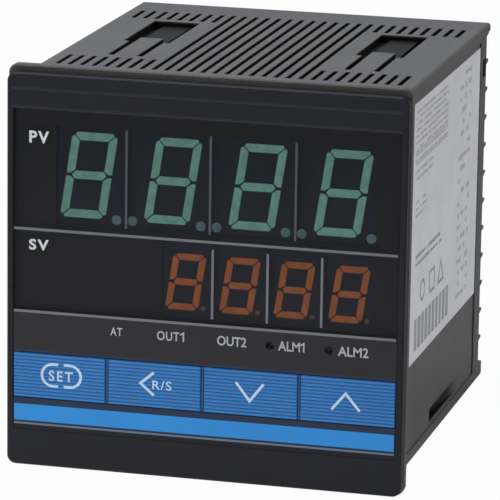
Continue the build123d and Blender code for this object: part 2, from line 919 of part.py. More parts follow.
# Status lamps: small round lamps that stand on the display board
with BuildPart() as status_lamps:
    with BuildSketch(facing(display_front)):
        with Locations([(x, lamp_z) for x in lamp_xs]):
            RegularPolygon(lamp_radius, small_sides)
    extrude(amount=-(board_front - display_front))
finish(status_lamps, "status_lamps")

# Side boards, plugged to the display board by headers
for side, name in ((1, "processor_board"), (-1, "power_board")):
    with BuildPart() as side_board:
        with BuildSketch(side_plane(side * side_board_inner)):
            with Locations(((side_board_front + side_board_back) / 2, 0)):
                Rectangle(side_board_back - side_board_front, 2 * side_board_half)
        extrude(amount=side * board_thickness)
    finish(side_board, name)

with BuildPart() as board_headers:
    for side in (1, -1):
        with BuildSketch(side_plane(side * side_board_inner)):
            with Locations((board_back + header_length / 2, 0)):
                Rectangle(header_length, header_height)
        extrude(amount=-side * header_thickness)
finish(board_headers, "board_headers")

# Transformer on the power board: laminated core with two windows, and its coil
core_length = 4 * core_limb + 2 * core_window_length
core_middle_y = side_board_back - core_back_margin - core_length / 2
core_middle_x = core_height / 2 - side_board_inner
core_window_height = core_height - 2 * core_limb
core_window_offset = core_limb + core_window_length / 2
with BuildPart() as transformer_core:
    with BuildSketch(Plane.XY.offset(-core_stack / 2)):
        with Locations((core_middle_x, core_middle_y)):
            Rectangle(core_height, core_length)
        with Locations(
            (core_middle_x, core_middle_y - core_window_offset),
            (core_middle_x, core_middle_y + core_window_offset),
        ):
            Rectangle(core_window_height, core_window_length, mode=Mode.SUBTRACT)
    extrude(amount=core_stack)
finish(transformer_core, "transformer_core")

with BuildPart() as transformer_coil:
    with BuildSketch(side_plane(core_middle_x - core_window_height / 2 + coil_gap)):
        with Locations((core_middle_y, 0)):
            Rectangle(
                2 * (core_limb + core_window_length - coil_gap),
                core_stack + 2 * core_window_length,
            )
            Rectangle(
                2 * (core_limb + coil_gap),
                core_stack + 2 * coil_gap,
                mode=Mode.SUBTRACT,
            )
    extrude(amount=core_window_height - 2 * coil_gap)
finish(transformer_coil, "transformer_coil")

# Smoothing capacitors in a row up the power board
capacitor_y = board_back + capacitor_front_gap + capacitor_radius
with BuildPart() as smoothing_capacitors:
    with BuildSketch(side_plane(-side_board_inner)):
        with Locations((capacitor_y, 0)):
            with GridLocations(0, capacitor_pitch, 1, capacitors):
                RegularPolygon(capacitor_radius, capacitor_sides)
    extrude(amount=capacitor_length)
finish(smoothing_capacitors, "smoothing_capacitors")

# Output relays in pairs and the controller chip on the processor board
relay_y = side_board_back - relay_back_margin - relay_length / 2
outer_relay_z = side_board_half - relay_end_margin - relay_width / 2
relay_zs = [
    side * (outer_relay_z - step * relay_pitch) for side in (-1, 1) for step in (0, 1)
]
with BuildPart() as output_relays:
    with BuildSketch(side_plane(side_board_inner)):
        with Locations([(relay_y, z) for z in relay_zs]):
            Rectangle(relay_length, relay_width)
    extrude(amount=-relay_height)
finish(output_relays, "output_relays")

with BuildPart() as controller_chip:
    with BuildSketch(side_plane(side_board_inner)):
        with Locations((side_board_front + chip_front_margin + chip_size / 2, chip_z)):
            Rectangle(chip_size, chip_size)
    extrude(amount=-chip_thickness)
finish(controller_chip, "controller_chip")

# Spacers that hold the two side boards apart near their back edges
spacer_z = side_board_half - spacer_end_margin
with BuildPart() as board_spacers:
    with BuildSketch(side_plane(-side_board_inner)):
        with Locations(
            (arm_back - spacer_depth, -spacer_z),
            (arm_back - spacer_depth, spacer_z),
        ):
            Rectangle(spacer_depth, spacer_height)
    extrude(amount=2 * side_board_inner)
finish(board_spacers, "board_spacers")
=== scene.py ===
"""Looks of a panel-mounted PID temperature controller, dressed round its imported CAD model."""

import json
import logging
import math
from dataclasses import dataclass
from enum import Enum
from functools import cache
from typing import ClassVar

import bmesh
import bpy
from mathutils import Matrix, Vector

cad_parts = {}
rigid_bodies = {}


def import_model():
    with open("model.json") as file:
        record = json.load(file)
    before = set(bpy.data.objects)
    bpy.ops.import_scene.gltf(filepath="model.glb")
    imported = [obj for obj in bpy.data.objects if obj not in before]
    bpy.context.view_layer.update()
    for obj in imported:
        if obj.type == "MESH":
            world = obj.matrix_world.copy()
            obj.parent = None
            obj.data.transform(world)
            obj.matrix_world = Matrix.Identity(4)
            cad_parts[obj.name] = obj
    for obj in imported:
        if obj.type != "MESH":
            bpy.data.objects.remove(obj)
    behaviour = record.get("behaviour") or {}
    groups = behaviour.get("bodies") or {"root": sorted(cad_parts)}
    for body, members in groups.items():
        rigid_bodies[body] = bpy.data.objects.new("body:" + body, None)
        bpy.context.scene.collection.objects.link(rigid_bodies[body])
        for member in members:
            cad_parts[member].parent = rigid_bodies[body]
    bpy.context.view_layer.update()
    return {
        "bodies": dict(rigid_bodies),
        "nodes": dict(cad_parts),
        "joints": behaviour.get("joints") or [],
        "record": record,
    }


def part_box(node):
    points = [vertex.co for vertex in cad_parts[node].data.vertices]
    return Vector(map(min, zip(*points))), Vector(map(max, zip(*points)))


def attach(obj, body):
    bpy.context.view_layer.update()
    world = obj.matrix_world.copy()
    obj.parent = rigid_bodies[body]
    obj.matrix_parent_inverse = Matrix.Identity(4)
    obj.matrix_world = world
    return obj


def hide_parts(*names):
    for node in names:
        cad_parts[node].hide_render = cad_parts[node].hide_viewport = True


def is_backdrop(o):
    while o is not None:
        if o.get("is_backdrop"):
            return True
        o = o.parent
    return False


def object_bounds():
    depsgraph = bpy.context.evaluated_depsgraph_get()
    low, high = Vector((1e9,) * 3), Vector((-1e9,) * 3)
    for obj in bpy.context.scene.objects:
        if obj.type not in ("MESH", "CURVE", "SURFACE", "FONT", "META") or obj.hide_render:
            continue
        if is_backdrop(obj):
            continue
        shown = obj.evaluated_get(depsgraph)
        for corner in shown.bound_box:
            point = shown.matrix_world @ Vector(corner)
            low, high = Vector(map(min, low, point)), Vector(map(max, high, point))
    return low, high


log = logging.getLogger("controller")

Tone = tuple[float, float, float, float]
Triple = tuple[float, float, float]
Point = tuple[float, float]
Outline = list[Point] | tuple[Point, ...]

# The part's sizes are in millimetres, and Blender counts in metres.
MM = 0.001
INK_THICKNESS = 0.03
KEY_NAMES = ("set", "shift", "down", "up")
# Nearly all values of a noise lie in the first span, and most of them in the second.
NOISE_SPAN = (0.3, 0.7)
CLOUD_SPAN = (0.35, 0.65)
# How far apart the bands of a wave texture lie at a scale of 1.
WAVE_LENGTH = math.pi / 10
# Corners this close, in metres, are one corner of a mesh.
SAME_PLACE = 1e-6


def tone(red: int, green: int, blue: int) -> Tone:
    """Turn a colour in screen values, 0 to 255, into the linear one that shaders use.

    Args:
        red: Red screen value.
        green: Green screen value.
        blue: Blue screen value.

    Returns:
        The linear colour, with an alpha of 1.
    """

    def channel(value: int) -> float:
        """Linear share of one screen value."""
        share = value / 255
        return share / 12.92 if share <= 0.04045 else ((share + 0.055) / 1.055) ** 2.4

    return (channel(red), channel(green), channel(blue), 1.0)


def grey(level: float) -> Tone:
    """Linear grey of a level from 0 to 1."""
    return (level, level, level, 1.0)


def scaled(colour: Tone, factor: float) -> Tone:
    """Lighten or darken a linear colour by a factor."""
    return (colour[0] * factor, colour[1] * factor, colour[2] * factor, colour[3])


class Axis(Enum):
    """An axis of the part, by the name that texture nodes give it."""

    X = "X"
    Y = "Y"
    Z = "Z"


class Graph:
    """A node tree with short calls that add nodes and link them."""

    def __init__(self, tree: bpy.types.NodeTree) -> None:
        """Keep the tree that the calls add to."""
        self.tree = tree

    @classmethod
    def of(cls, owner: bpy.types.Material | bpy.types.World) -> "Graph":
        """The emptied node tree of a material or a world."""
        owner.use_nodes = True
        owner.node_tree.nodes.clear()
        return cls(owner.node_tree)

    def add(self, kind: str, inputs: dict | None = None, **settings: object) -> bpy.types.Node:
        """Add a node.

        Args:
            kind: The node's type name.
            inputs: Values or sockets for its inputs, by name or index.
            **settings: The node's own properties.

        Returns:
            The new node.
        """
        node = self.tree.nodes.new(kind)
        for name, value in settings.items():
            setattr(node, name, value)
        for key, value in (inputs or {}).items():
            if isinstance(value, bpy.types.NodeSocket):
                self.tree.links.new(value, node.inputs[key])
            else:
                node.inputs[key].default_value = value
        return node

    def math(self, operation: str, *values: object) -> object:
        """Result of a Math node on values or sockets."""
        return self.add("ShaderNodeMath", dict(enumerate(values)), operation=operation).outputs[0]

    def blend(self, share: object, first: object, second: object) -> object:
        """Colour between two others, by a share from 0 to 1."""
        node = self.add("ShaderNodeMix", {0: share, 6: first, 7: second}, data_type="RGBA")
        return node.outputs[2]

    def remap(self, value: object, source: Point, target: Point = (0.0, 1.0)) -> object:
        """Move a value from one range into another, clamped."""
        inputs = {0: value, 1: source[0], 2: source[1], 3: target[0], 4: target[1]}
        return self.add("ShaderNodeMapRange", inputs).outputs[0]

    def place(self) -> object:
        """The point's place on the object, in metres."""
        return self.add("ShaderNodeTexCoord").outputs["Object"]

    def parts(self, vector: object) -> object:
        """A vector's three values, by the names X, Y and Z."""
        return self.add("ShaderNodeSeparateXYZ", {0: vector}).outputs

    def noise(self, size: float, detail: float = 2.0, vector: object = None) -> object:
        """Soft noise from 0 to 1 whose features are about size millimetres wide."""
        inputs = {"Vector": vector or self.place(), "Scale": 1 / (size * MM), "Detail": detail}
        return self.add("ShaderNodeTexNoise", inputs).outputs[0]

    def waves(self, along: Axis, scale: float, distortion: float = 0.0) -> object:
        """Soft bands from 0 to 1 that follow each other along one axis."""
        inputs = {"Vector": self.place(), "Scale": scale, "Distortion": distortion, "Detail": 1.0}
        return self.add("ShaderNodeTexWave", inputs, bands_direction=along.value).outputs[1]

    def relief(self, height: object, depth: float, normal: object = None) -> object:
        """Normal of a bump that is depth millimetres high."""
        inputs = {"Height": height, "Distance": depth * MM, "Strength": 1.0}
        if normal is not None:
            inputs["Normal"] = normal
        return self.add("ShaderNodeBump", inputs).outputs[0]


@dataclass(frozen=True)
class Finish:
    """A named surface finish with one main colour."""

    name: str
    colour: Tone
    see_through: ClassVar[bool] = False

    @cache
    def material(self) -> bpy.types.Material:
        """Make the material when it is first asked for, and return it."""
        made = bpy.data.materials.new(self.name)
        graph = Graph.of(made)
        shader = graph.add("ShaderNodeBsdfPrincipled", self.shade(graph))
        graph.add("ShaderNodeOutputMaterial", {"Surface": shader.outputs[0]})
        if self.see_through:
            made.surface_render_method = "BLENDED"
        return made

    def shade(self, graph: Graph) -> dict[str, object]:
        """Values or sockets for the shader's inputs, by name. Each finish has its own."""
        raise NotImplementedError

    def varied(self, graph: Graph, share: object, low: float, high: float) -> object:
        """The main colour, made low to high times as bright by a share from 0 to 1."""
        return graph.blend(share, scaled(self.colour, low), scaled(self.colour, high))


@dataclass(frozen=True)
class MouldedPlastic(Finish):
    """Injection-moulded plastic with a spark-eroded grain and softly broken edges."""

    roughness: float = 0.5
    specular: float = 0.5
    grain: float = 0.5
    grain_depth: float = 0.02
    mottle: float = 0.1
    cloud: float = 14.0
    gloss_spread: float = 0.05
    edge: float = 0.12
    # Half sizes of the hollow, and the ramps, tone and sheen of the painted shade inside it.
    hollow: Point | None = None
    painted_shade_ramps: tuple[Point, Point] = ((0.35, 0.8), (0.1, 0.45))
    painted_shade_tone: float = 0.1
    painted_shade_sheen: float = 0.2

    def painted_shade_share(self, graph: Graph) -> object:
        """Share of painted shade, from 0 on the moulding's outer faces to 1 well inside its hollow."""
        parts = graph.parts(graph.place())
        sides = (graph.math("ABSOLUTE", parts[name]) for name in ("X", "Z"))
        shares = [
            graph.remap(graph.math("SUBTRACT", half * MM, side), (start * MM, end * MM))
            for half, side, (start, end) in zip(self.hollow, sides, self.painted_shade_ramps)
        ]
        return graph.math("MINIMUM", *shares)

    def shade(self, graph: Graph) -> dict[str, object]:
        """Mottled colour, varied gloss, and grain over rounded edges, with painted shade deep inside
        the hollow.
        """
        speck = graph.noise(self.grain)
        fine = graph.remap(speck, NOISE_SPAN, (0.0, 0.7))
        broad = graph.remap(graph.noise(self.cloud, 3.0), CLOUD_SPAN, (0.0, 0.3))
        share = graph.math("ADD", fine, broad)
        colour = self.varied(graph, share, 1 - 2 * self.mottle, 1 + 2 * self.mottle)
        specular = self.specular
        # Painted shade: the colour darkens and the sheen fades with depth inside the hollow, in the
        # slots and pockets where shade falls.
        if self.hollow:
            inside = self.painted_shade_share(graph)
            colour = graph.blend(inside, colour, scaled(self.colour, self.painted_shade_tone))
            specular = graph.remap(inside, (0.0, 1.0), (specular, specular * self.painted_shade_sheen))
        rounded = None
        if self.edge:
            rounded = graph.add("ShaderNodeBevel", {"Radius": self.edge * MM}, samples=4).outputs[0]
        spread = (self.roughness - self.gloss_spread, self.roughness + self.gloss_spread)
        return {
            "Base Color": colour,
            "Specular IOR Level": specular,
            "Roughness": graph.remap(speck, NOISE_SPAN, spread),
            "Normal": graph.relief(speck, self.grain_depth, rounded),
        }


@dataclass(frozen=True)
class SmokedPane(Finish):
    """Smoked acrylic, polished, which shows what lies behind it darkened."""

    see_through: ClassVar[bool] = True
    density: float = 0.3
    specular: float = 0.35
    polish: Point = (0.1, 0.18)
    haze: float = 18.0

    def shade(self, graph: Graph) -> dict[str, object]:
        """Light comes through by alpha, and the polish varies a little."""
        haze = graph.noise(self.haze, 3.0)
        return {
            "Base Color": self.varied(graph, haze, 0.85, 1.15),
            "Roughness": graph.remap(haze, NOISE_SPAN, self.polish),
            "Specular IOR Level": self.specular,
            "Alpha": self.density,
        }


@dataclass(frozen=True)
class LightBar(Finish):
    """Milky cast resin over a light source, a little brighter where it is thicker."""

    glow: float = 0.3
    unevenness: float = 0.12
    cloud: float = 1.6
    roughness: float = 0.45

    def shade(self, graph: Graph) -> dict[str, object]:
        """A faint glow that varies along the bar."""
        cloud = graph.remap(graph.noise(self.cloud), CLOUD_SPAN)
        colour = self.varied(graph, cloud, 1 - self.unevenness, 1 + self.unevenness)
        return {
            "Base Color": colour,
            "Emission Color": colour,
            "Emission Strength": self.glow,
            "Roughness": self.roughness,
        }


@dataclass(frozen=True)
class Ink(Finish):
    """Screen-printed ink or thin coloured film."""

    roughness: float = 0.5
    specular: float = 0.3
    unevenness: float = 0.05
    patch: float = 6.0
    speck: float = 0.3
    relief: float = 0.003

    def shade(self, graph: Graph) -> dict[str, object]:
        """Cover that varies slightly over broad patches, with fine specks."""
        cover = graph.remap(graph.noise(self.patch, 4.0), NOISE_SPAN)
        return {
            "Base Color": self.varied(graph, cover, 1 - self.unevenness, 1 + self.unevenness),
            "Roughness": self.roughness,
            "Specular IOR Level": self.specular,
            "Normal": graph.relief(graph.noise(self.speck), self.relief),
        }


@dataclass(frozen=True)
class Metal(Finish):
    """Plated or rolled metal, brushed along one axis."""

    roughness: float = 0.32
    brush: Triple = (1.0, 1.0, 1.0)
    grain: float = 0.25
    grain_depth: float = 0.01
    patch: float = 3.0

    def shade(self, graph: Graph) -> dict[str, object]:
        """Brushed gloss, and a colour that is dull in patches."""
        stretched = graph.add("ShaderNodeMapping", {0: graph.place(), 3: self.brush}).outputs[0]
        brushed = graph.noise(self.grain, 3.0, stretched)
        spread = (self.roughness - 0.08, self.roughness + 0.1)
        return {
            "Base Color": self.varied(graph, graph.noise(self.patch), 0.8, 1.1),
            "Metallic": 1.0,
            "Roughness": graph.remap(brushed, NOISE_SPAN, spread),
            "Normal": graph.relief(brushed, self.grain_depth),
        }


@dataclass(frozen=True)
class CircuitBoard(Finish):
    """Glass-fibre board under solder mask, with copper tracks and plated holes."""

    faces: Axis = Axis.X
    track: float = 3.2
    hole_pitch: float = 4.5
    hole_reach: float = 0.13
    ring_reach: float = 0.24
    roughness: float = 0.35

    def shade(self, graph: Graph) -> dict[str, object]:
        """Tracks and ringed holes in the board's plane."""
        parts = graph.parts(graph.place())
        first = parts["Y"] if self.faces is Axis.X else parts["X"]
        flat = graph.add("ShaderNodeCombineXYZ", {0: first, 1: parts["Z"]}).outputs[0]
        bricks = graph.add(
            "ShaderNodeTexBrick",
            {
                "Vector": flat,
                "Scale": 1 / (self.track * MM),
                "Mortar Size": 0.06,
                "Mortar Smooth": 0.2,
                "Color1": grey(0.0),
                "Color2": grey(0.12),
                "Mortar": grey(1.0),
            },
        ).outputs
        spots = {"Vector": flat, "Scale": 1 / (self.hole_pitch * MM)}
        distance = graph.add("ShaderNodeTexVoronoi", spots).outputs[0]
        colour = graph.blend(bricks[0], self.colour, scaled(self.colour, 1.9))
        plating, dark = tone(176, 172, 150), tone(14, 16, 15)
        for reach, paint in ((self.ring_reach, plating), (self.hole_reach, dark)):
            colour = graph.blend(graph.math("LESS_THAN", distance, reach), colour, paint)
        return {
            "Base Color": colour,
            "Roughness": self.roughness,
            "Normal": graph.relief(bricks[1], 0.03),
        }


@dataclass(frozen=True)
class Banded(Finish):
    """Stacked layers or wound turns, drawn as fine bands along one axis."""

    along: Axis = Axis.Z
    pitch: float = 0.25
    metallic: float = 0.0
    roughness: float = 0.5

    def shade(self, graph: Graph) -> dict[str, object]:
        """Colour and relief in bands."""
        bands = graph.waves(self.along, WAVE_LENGTH / (self.pitch * MM), 0.3)
        return {
            "Base Color": self.varied(graph, bands, 0.5, 1.2),
            "Metallic": self.metallic,
            "Roughness": self.roughness,
            "Normal": graph.relief(bands, 0.1),
        }


@dataclass(frozen=True)
class CanSleeve(Finish):
    """Shrink sleeve on a capacitor's can, which leaves the can's end bare."""

    end: float = 0.0
    stripe: float = 7.0
    stripe_level: float = 0.93
    roughness: float = 0.35

    def shade(self, graph: Graph) -> dict[str, object]:
        """Bare aluminium past the sleeve's end, and a pale stripe along the sleeve."""
        bare = graph.math("GREATER_THAN", graph.parts(graph.place())["X"], self.end * MM)
        bands = graph.waves(Axis.Y, 1 / (self.stripe * MM))
        mark = graph.math("GREATER_THAN", bands, self.stripe_level)
        sleeve = graph.blend(mark, self.colour, tone(150, 155, 160))
        return {
            "Base Color": graph.blend(bare, sleeve, tone(200, 200, 202)),
            "Metallic": bare,
            "Roughness": self.roughness,
        }


CASE = MouldedPlastic(
    "case_grained_plastic",
    tone(77, 72, 67),
    roughness=0.54,
    specular=0.38,
    grain=0.8,
    grain_depth=0.06,
    mottle=0.16,
    # Painted shade darkens the case's slots and pockets inside these half sizes.
    hollow=(45.3, 45.5),
)
FRAME = MouldedPlastic(
    "frame_satin_plastic", tone(32, 33, 39), roughness=0.5, specular=0.22, grain=0.4, grain_depth=0.008
)
# The beads' plastic is lighter than the frame's: painted highlight along the beads.
BEAD_HIGHLIGHT = MouldedPlastic(
    "frame_bead_plastic", tone(37, 38, 43), roughness=0.42, specular=0.3, grain=0.4, grain_depth=0.008
)
BLOCK = MouldedPlastic("block_satin_plastic", tone(72, 68, 65), roughness=0.55, specular=0.36)
PANE = SmokedPane("smoked_acrylic", tone(10, 11, 14))
MASK = Ink("window_mask_ink", tone(26, 27, 34), roughness=0.55, patch=12.0, relief=0.0)
BAND = Ink("band_ink", tone(44, 43, 48), roughness=0.55, patch=12.0)
DISPLAY_FACE = Ink("display_face_resin", tone(34, 44, 70), patch=9.0, relief=0.0)
PV_BAR = LightBar("pv_bar_resin", tone(114, 168, 156), glow=0.55)
PV_POINT = LightBar("pv_point_resin", tone(92, 128, 134), glow=0.4)
SV_BAR = LightBar("sv_bar_resin", tone(168, 92, 46), glow=0.48)
SV_POINT = LightBar("sv_point_resin", tone(120, 84, 60))
LAMP = MouldedPlastic("lamp_lens", tone(24, 24, 28), roughness=0.3, grain_depth=0.0, edge=0.0)
KEY = MouldedPlastic(
    "key_plastic", tone(38, 100, 164), roughness=0.45, specular=0.3, mottle=0.05, grain_depth=0.004
)
KEY_RIB = MouldedPlastic(
    "key_rib_plastic", tone(57, 134, 208), roughness=0.45, specular=0.3, mottle=0.05, grain_depth=0.0
)
SYMBOL = Ink("key_symbol_ink", tone(206, 231, 255), roughness=0.4)
SURROUND = Ink("key_surround_ink", tone(36, 52, 80))
KEY_WEB = Ink("key_web_ink", tone(42, 88, 140))
STRIP = Ink("strip_blue_film", tone(46, 149, 230), roughness=0.4, patch=20.0)
SILVER = Ink("trim_silver_ink", tone(108, 122, 144), roughness=0.4, patch=2.0)
LINE = Ink("line_ink", tone(126, 128, 135))
JOINT = Ink("joint_line_ink", tone(84, 85, 98))
LETTER = Ink("letter_ink", tone(188, 191, 198), roughness=0.45)
TITLE = Ink("title_ink", tone(228, 231, 240), roughness=0.45)
LABEL = Ink("label_film", tone(236, 235, 237), roughness=0.42, specular=0.5, patch=8.0)
LABEL_INK = Ink("label_ink", tone(163, 163, 167))
SMALL_PRINT = Ink("small_print_ink", tone(194, 193, 197))
PLUNGER = MouldedPlastic("plunger_cream_plastic", tone(196, 190, 176), roughness=0.45, edge=0.05)
SWITCH = MouldedPlastic("switch_plastic", tone(30, 30, 32), roughness=0.4, edge=0.05)
BOARD_SIDE = CircuitBoard("side_board_mask", tone(26, 84, 52))
BOARD_FRONT = CircuitBoard("display_board_mask", tone(26, 84, 52), faces=Axis.Y)
STEEL = Metal("zinc_plated_steel", tone(196, 196, 200), roughness=0.3)
BRASS = Metal("nickel_plated_brass", tone(204, 192, 160), roughness=0.34, brush=(6.0, 1.0, 1.0))
CORE = Banded("core_laminations", tone(96, 96, 100), metallic=0.8, roughness=0.45)
COIL = Banded("coil_tape", tone(196, 160, 52), along=Axis.X, pitch=0.8, roughness=0.3)
CAN = CanSleeve("capacitor_sleeve", tone(28, 34, 60), end=-23.4)
RELAY = MouldedPlastic("relay_case", tone(38, 60, 96), roughness=0.3, grain_depth=0.004)
CHIP = MouldedPlastic("chip_epoxy", tone(28, 28, 30), roughness=0.55, grain=0.2, edge=0.05)
HEADER = MouldedPlastic("header_plastic", tone(32, 32, 34), edge=0.08)
SOCKET = MouldedPlastic("socket_plastic", tone(176, 168, 150), edge=0.08)


class Side(Enum):
    """The two faces of the controller that carry print."""

    FRONT = "front"
    RIGHT = "right"

    def point(self, across: float, up: float, out: float) -> Vector:
        """Place on this side, in metres.

        Args:
            across: Millimetres along X on the front, along Y on the right side.
            up: Millimetres along Z.
            out: Millimetres outwards, measured along the face's own axis from the origin.

        Returns:
            The point in the frame of the part.
        """
        if self is Side.FRONT:
            return Vector((across, -out, up)) * MM
        return Vector((out, across, up)) * MM


def span(node: str) -> tuple[Vector, Vector]:
    """Lowest and highest corner of a CAD node, in millimetres."""
    low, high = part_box(node)
    return low / MM, high / MM


def settle(piece: bpy.types.Object, body: str, slot: str, *nodes: str) -> None:
    """Tie a finished piece to the body that it rides on.

    Args:
        piece: The finished piece.
        body: Name of the CAD body.
        slot: Name of the record's material slot; not used.
        *nodes: CAD nodes that the piece stands for.
    """
    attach(piece, body)
    if nodes:
        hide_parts(*nodes)
    log.info("made %s with %d faces on %s", piece.name, len(piece.data.polygons), body)


def new_object(name: str, mesh: bpy.types.Mesh, finish: Finish | None = None) -> bpy.types.Object:
    """Put a mesh into the scene as an object, with a finish if one is given."""
    if finish:
        mesh.materials.clear()
        mesh.materials.append(finish.material())
    piece = bpy.data.objects.new(name, mesh)
    bpy.context.scene.collection.objects.link(piece)
    return piece


def baked(piece: bpy.types.Object) -> bpy.types.Mesh:
    """Plain mesh of an object as it shows, with its modifiers done."""
    bpy.context.view_layer.update()
    graph = bpy.context.evaluated_depsgraph_get()
    return bpy.data.meshes.new_from_object(piece.evaluated_get(graph))


def filled(mesh: bpy.types.Mesh, work: bmesh.types.BMesh, merge: float = 0.0) -> bpy.types.Mesh:
    """Move the faces of a work mesh into a mesh, turned outwards.

    Args:
        mesh: The mesh to fill.
        work: The work mesh, which is freed.
        merge: Distance in metres within which corners become one.

    Returns:
        The mesh that was filled.
    """
    if merge:
        bmesh.ops.remove_doubles(work, verts=work.verts, dist=merge)
    bmesh.ops.recalc_face_normals(work, faces=work.faces)
    work.to_mesh(mesh)
    work.free()
    return mesh


def mesh_of_curve(curve: bpy.types.Curve) -> bpy.types.Mesh:
    """Closed mesh of a flat or a text curve, with the curve itself removed."""
    helper = bpy.data.objects.new(curve.name, curve)
    bpy.context.scene.collection.objects.link(helper)
    mesh = baked(helper)
    bpy.data.objects.remove(helper)
    bpy.data.curves.remove(curve)
    work = bmesh.new()
    work.from_mesh(mesh)
    return filled(mesh, work, SAME_PLACE)


def add_prism(work: bmesh.types.BMesh, back: list[Vector], front: list[Vector]) -> None:
    """Add a closed prism between two rings with equally many points.

    Args:
        work: The work mesh.
        back: Points of one end, in metres.
        front: Points of the other end.
    """
    back, front = ([work.verts.new(place) for place in ring] for ring in (back, front))
    work.faces.new(front)
    work.faces.new(back[::-1])
    for i in range(len(back)):
        j = (i + 1) % len(back)
        work.faces.new((back[i], back[j], front[j], front[i]))


def signed_area(outline: Outline) -> float:
    """Area inside an outline, below zero where it runs clockwise."""
    pairs = zip(outline, outline[1:] + outline[:1])
    return sum(a[0] * b[1] - b[0] * a[1] for a, b in pairs) / 2


def plate_mesh(
    name: str, outlines: list[Outline], side: Side, face: float, thickness: float = INK_THICKNESS
) -> bpy.types.Mesh:
    """Flat closed plates, all in one mesh.

    Args:
        name: The mesh's name.
        outlines: Outline of each plate in its side's plane, in millimetres.
        side: The side that the plates lie on.
        face: Where their backs lie, in millimetres outwards.
        thickness: Their thickness in millimetres.

    Returns:
        The mesh, in its place on the side.
    """
    work = bmesh.new()
    for outline in outlines:
        ring = outline if signed_area(outline) > 0 else outline[::-1]
        levels = (face, face + thickness)
        add_prism(work, *([side.point(u, v, out) for u, v in ring] for out in levels))
    return filled(bpy.data.meshes.new(name), work)


def pierced(
    name: str, outline: Outline, holes: list[Outline], face: float, thickness: float, finish: Finish
) -> bpy.types.Object:
    """Flat closed plate with holes, parallel to the front.

    Args:
        name: The piece's name.
        outline: Outline of the plate, in millimetres.
        holes: Outline of each hole.
        face: Where the plate's back lies, in millimetres outwards.
        thickness: Its thickness in millimetres.
        finish: What it is made of.

    Returns:
        The new object.
    """
    curve = bpy.data.curves.new(name, "CURVE")
    curve.dimensions = "2D"
    curve.fill_mode = "BOTH"
    curve.extrude = thickness * MM / 2
    for ring in [outline, *holes]:
        spline = curve.splines.new("POLY")
        spline.points.add(len(ring) - 1)
        for point, (u, v) in zip(spline.points, ring):
            point.co = (u * MM, v * MM, 0.0, 1.0)
        spline.use_cyclic_u = True
    mesh = mesh_of_curve(curve)
    place = Matrix.Translation((0, -(face + thickness / 2) * MM, 0))
    mesh.transform(place @ Matrix.Rotation(math.pi / 2, 4, "X"))
    return new_object(name, mesh, finish)


def rectangle(left: float, bottom: float, right: float, top: float) -> Outline:
    """Outline of an upright rectangle."""
    return [(left, bottom), (right, bottom), (right, top), (left, top)]


def arc(centre: Point, radius: float, start: float, end: float, steps: int) -> Outline:
    """Points along an arc, between two angles in degrees."""
    angles = [math.radians(start + (end - start) * i / steps) for i in range(steps + 1)]
    return [(centre[0] + radius * math.cos(a), centre[1] + radius * math.sin(a)) for a in angles]


def ribbon(path: Outline, width: float) -> Outline:
    """Outline of a stroke of even width that follows a path, mitred at its corners."""
    directions = [(Vector(b) - Vector(a)).normalized() for a, b in zip(path, path[1:])]
    left, right = [], []
    for i, point in enumerate(path):
        before = directions[max(i - 1, 0)]
        after = directions[min(i, len(directions) - 1)]
        normal = Vector((-before.y - after.y, before.x + after.x))
        normal /= 1 + before.dot(after)
        left.append(tuple(Vector(point) + normal * width / 2))
        right.append(tuple(Vector(point) - normal * width / 2))
    return left + right[::-1]


@dataclass(frozen=True)
class Lettering:
    """A short word that fills a box on the front, in millimetres."""

    words: str
    left: float
    right: float
    bottom: float
    top: float
    weight: float = 0.015
    spacing: float = 1.0

    def mesh(self, name: str, face: float) -> bpy.types.Mesh:
        """Closed mesh of the word, as thick as ink.

        Args:
            name: Name of the mesh.
            face: Where its back lies, in millimetres outwards.

        Returns:
            The mesh, in its place on the front.
        """
        curve = bpy.data.curves.new(name, "FONT")
        curve.body = self.words
        curve.extrude = 0.1
        curve.offset = self.weight
        curve.space_character = self.spacing
        curve.resolution_u = 4
        mesh = mesh_of_curve(curve)
        places = [vertex.co.copy() for vertex in mesh.vertices]
        low = Vector(min(p[i] for p in places) for i in range(3))
        high = Vector(max(p[i] for p in places) for i in range(3))
        for vertex, place in zip(mesh.vertices, places):
            share = [(place[i] - low[i]) / (high[i] - low[i]) for i in range(3)]
            across = self.left + share[0] * (self.right - self.left)
            up = self.bottom + share[1] * (self.top - self.bottom)
            vertex.co = Side.FRONT.point(across, up, face + share[2] * INK_THICKNESS)
        return mesh


def joined(name: str, meshes: list[bpy.types.Mesh], finish: Finish) -> bpy.types.Object:
    """One object made of several closed meshes, with one finish."""
    work = bmesh.new()
    for mesh in meshes:
        work.from_mesh(mesh)
        bpy.data.meshes.remove(mesh)
    return new_object(name, filled(bpy.data.meshes.new(name), work), finish)


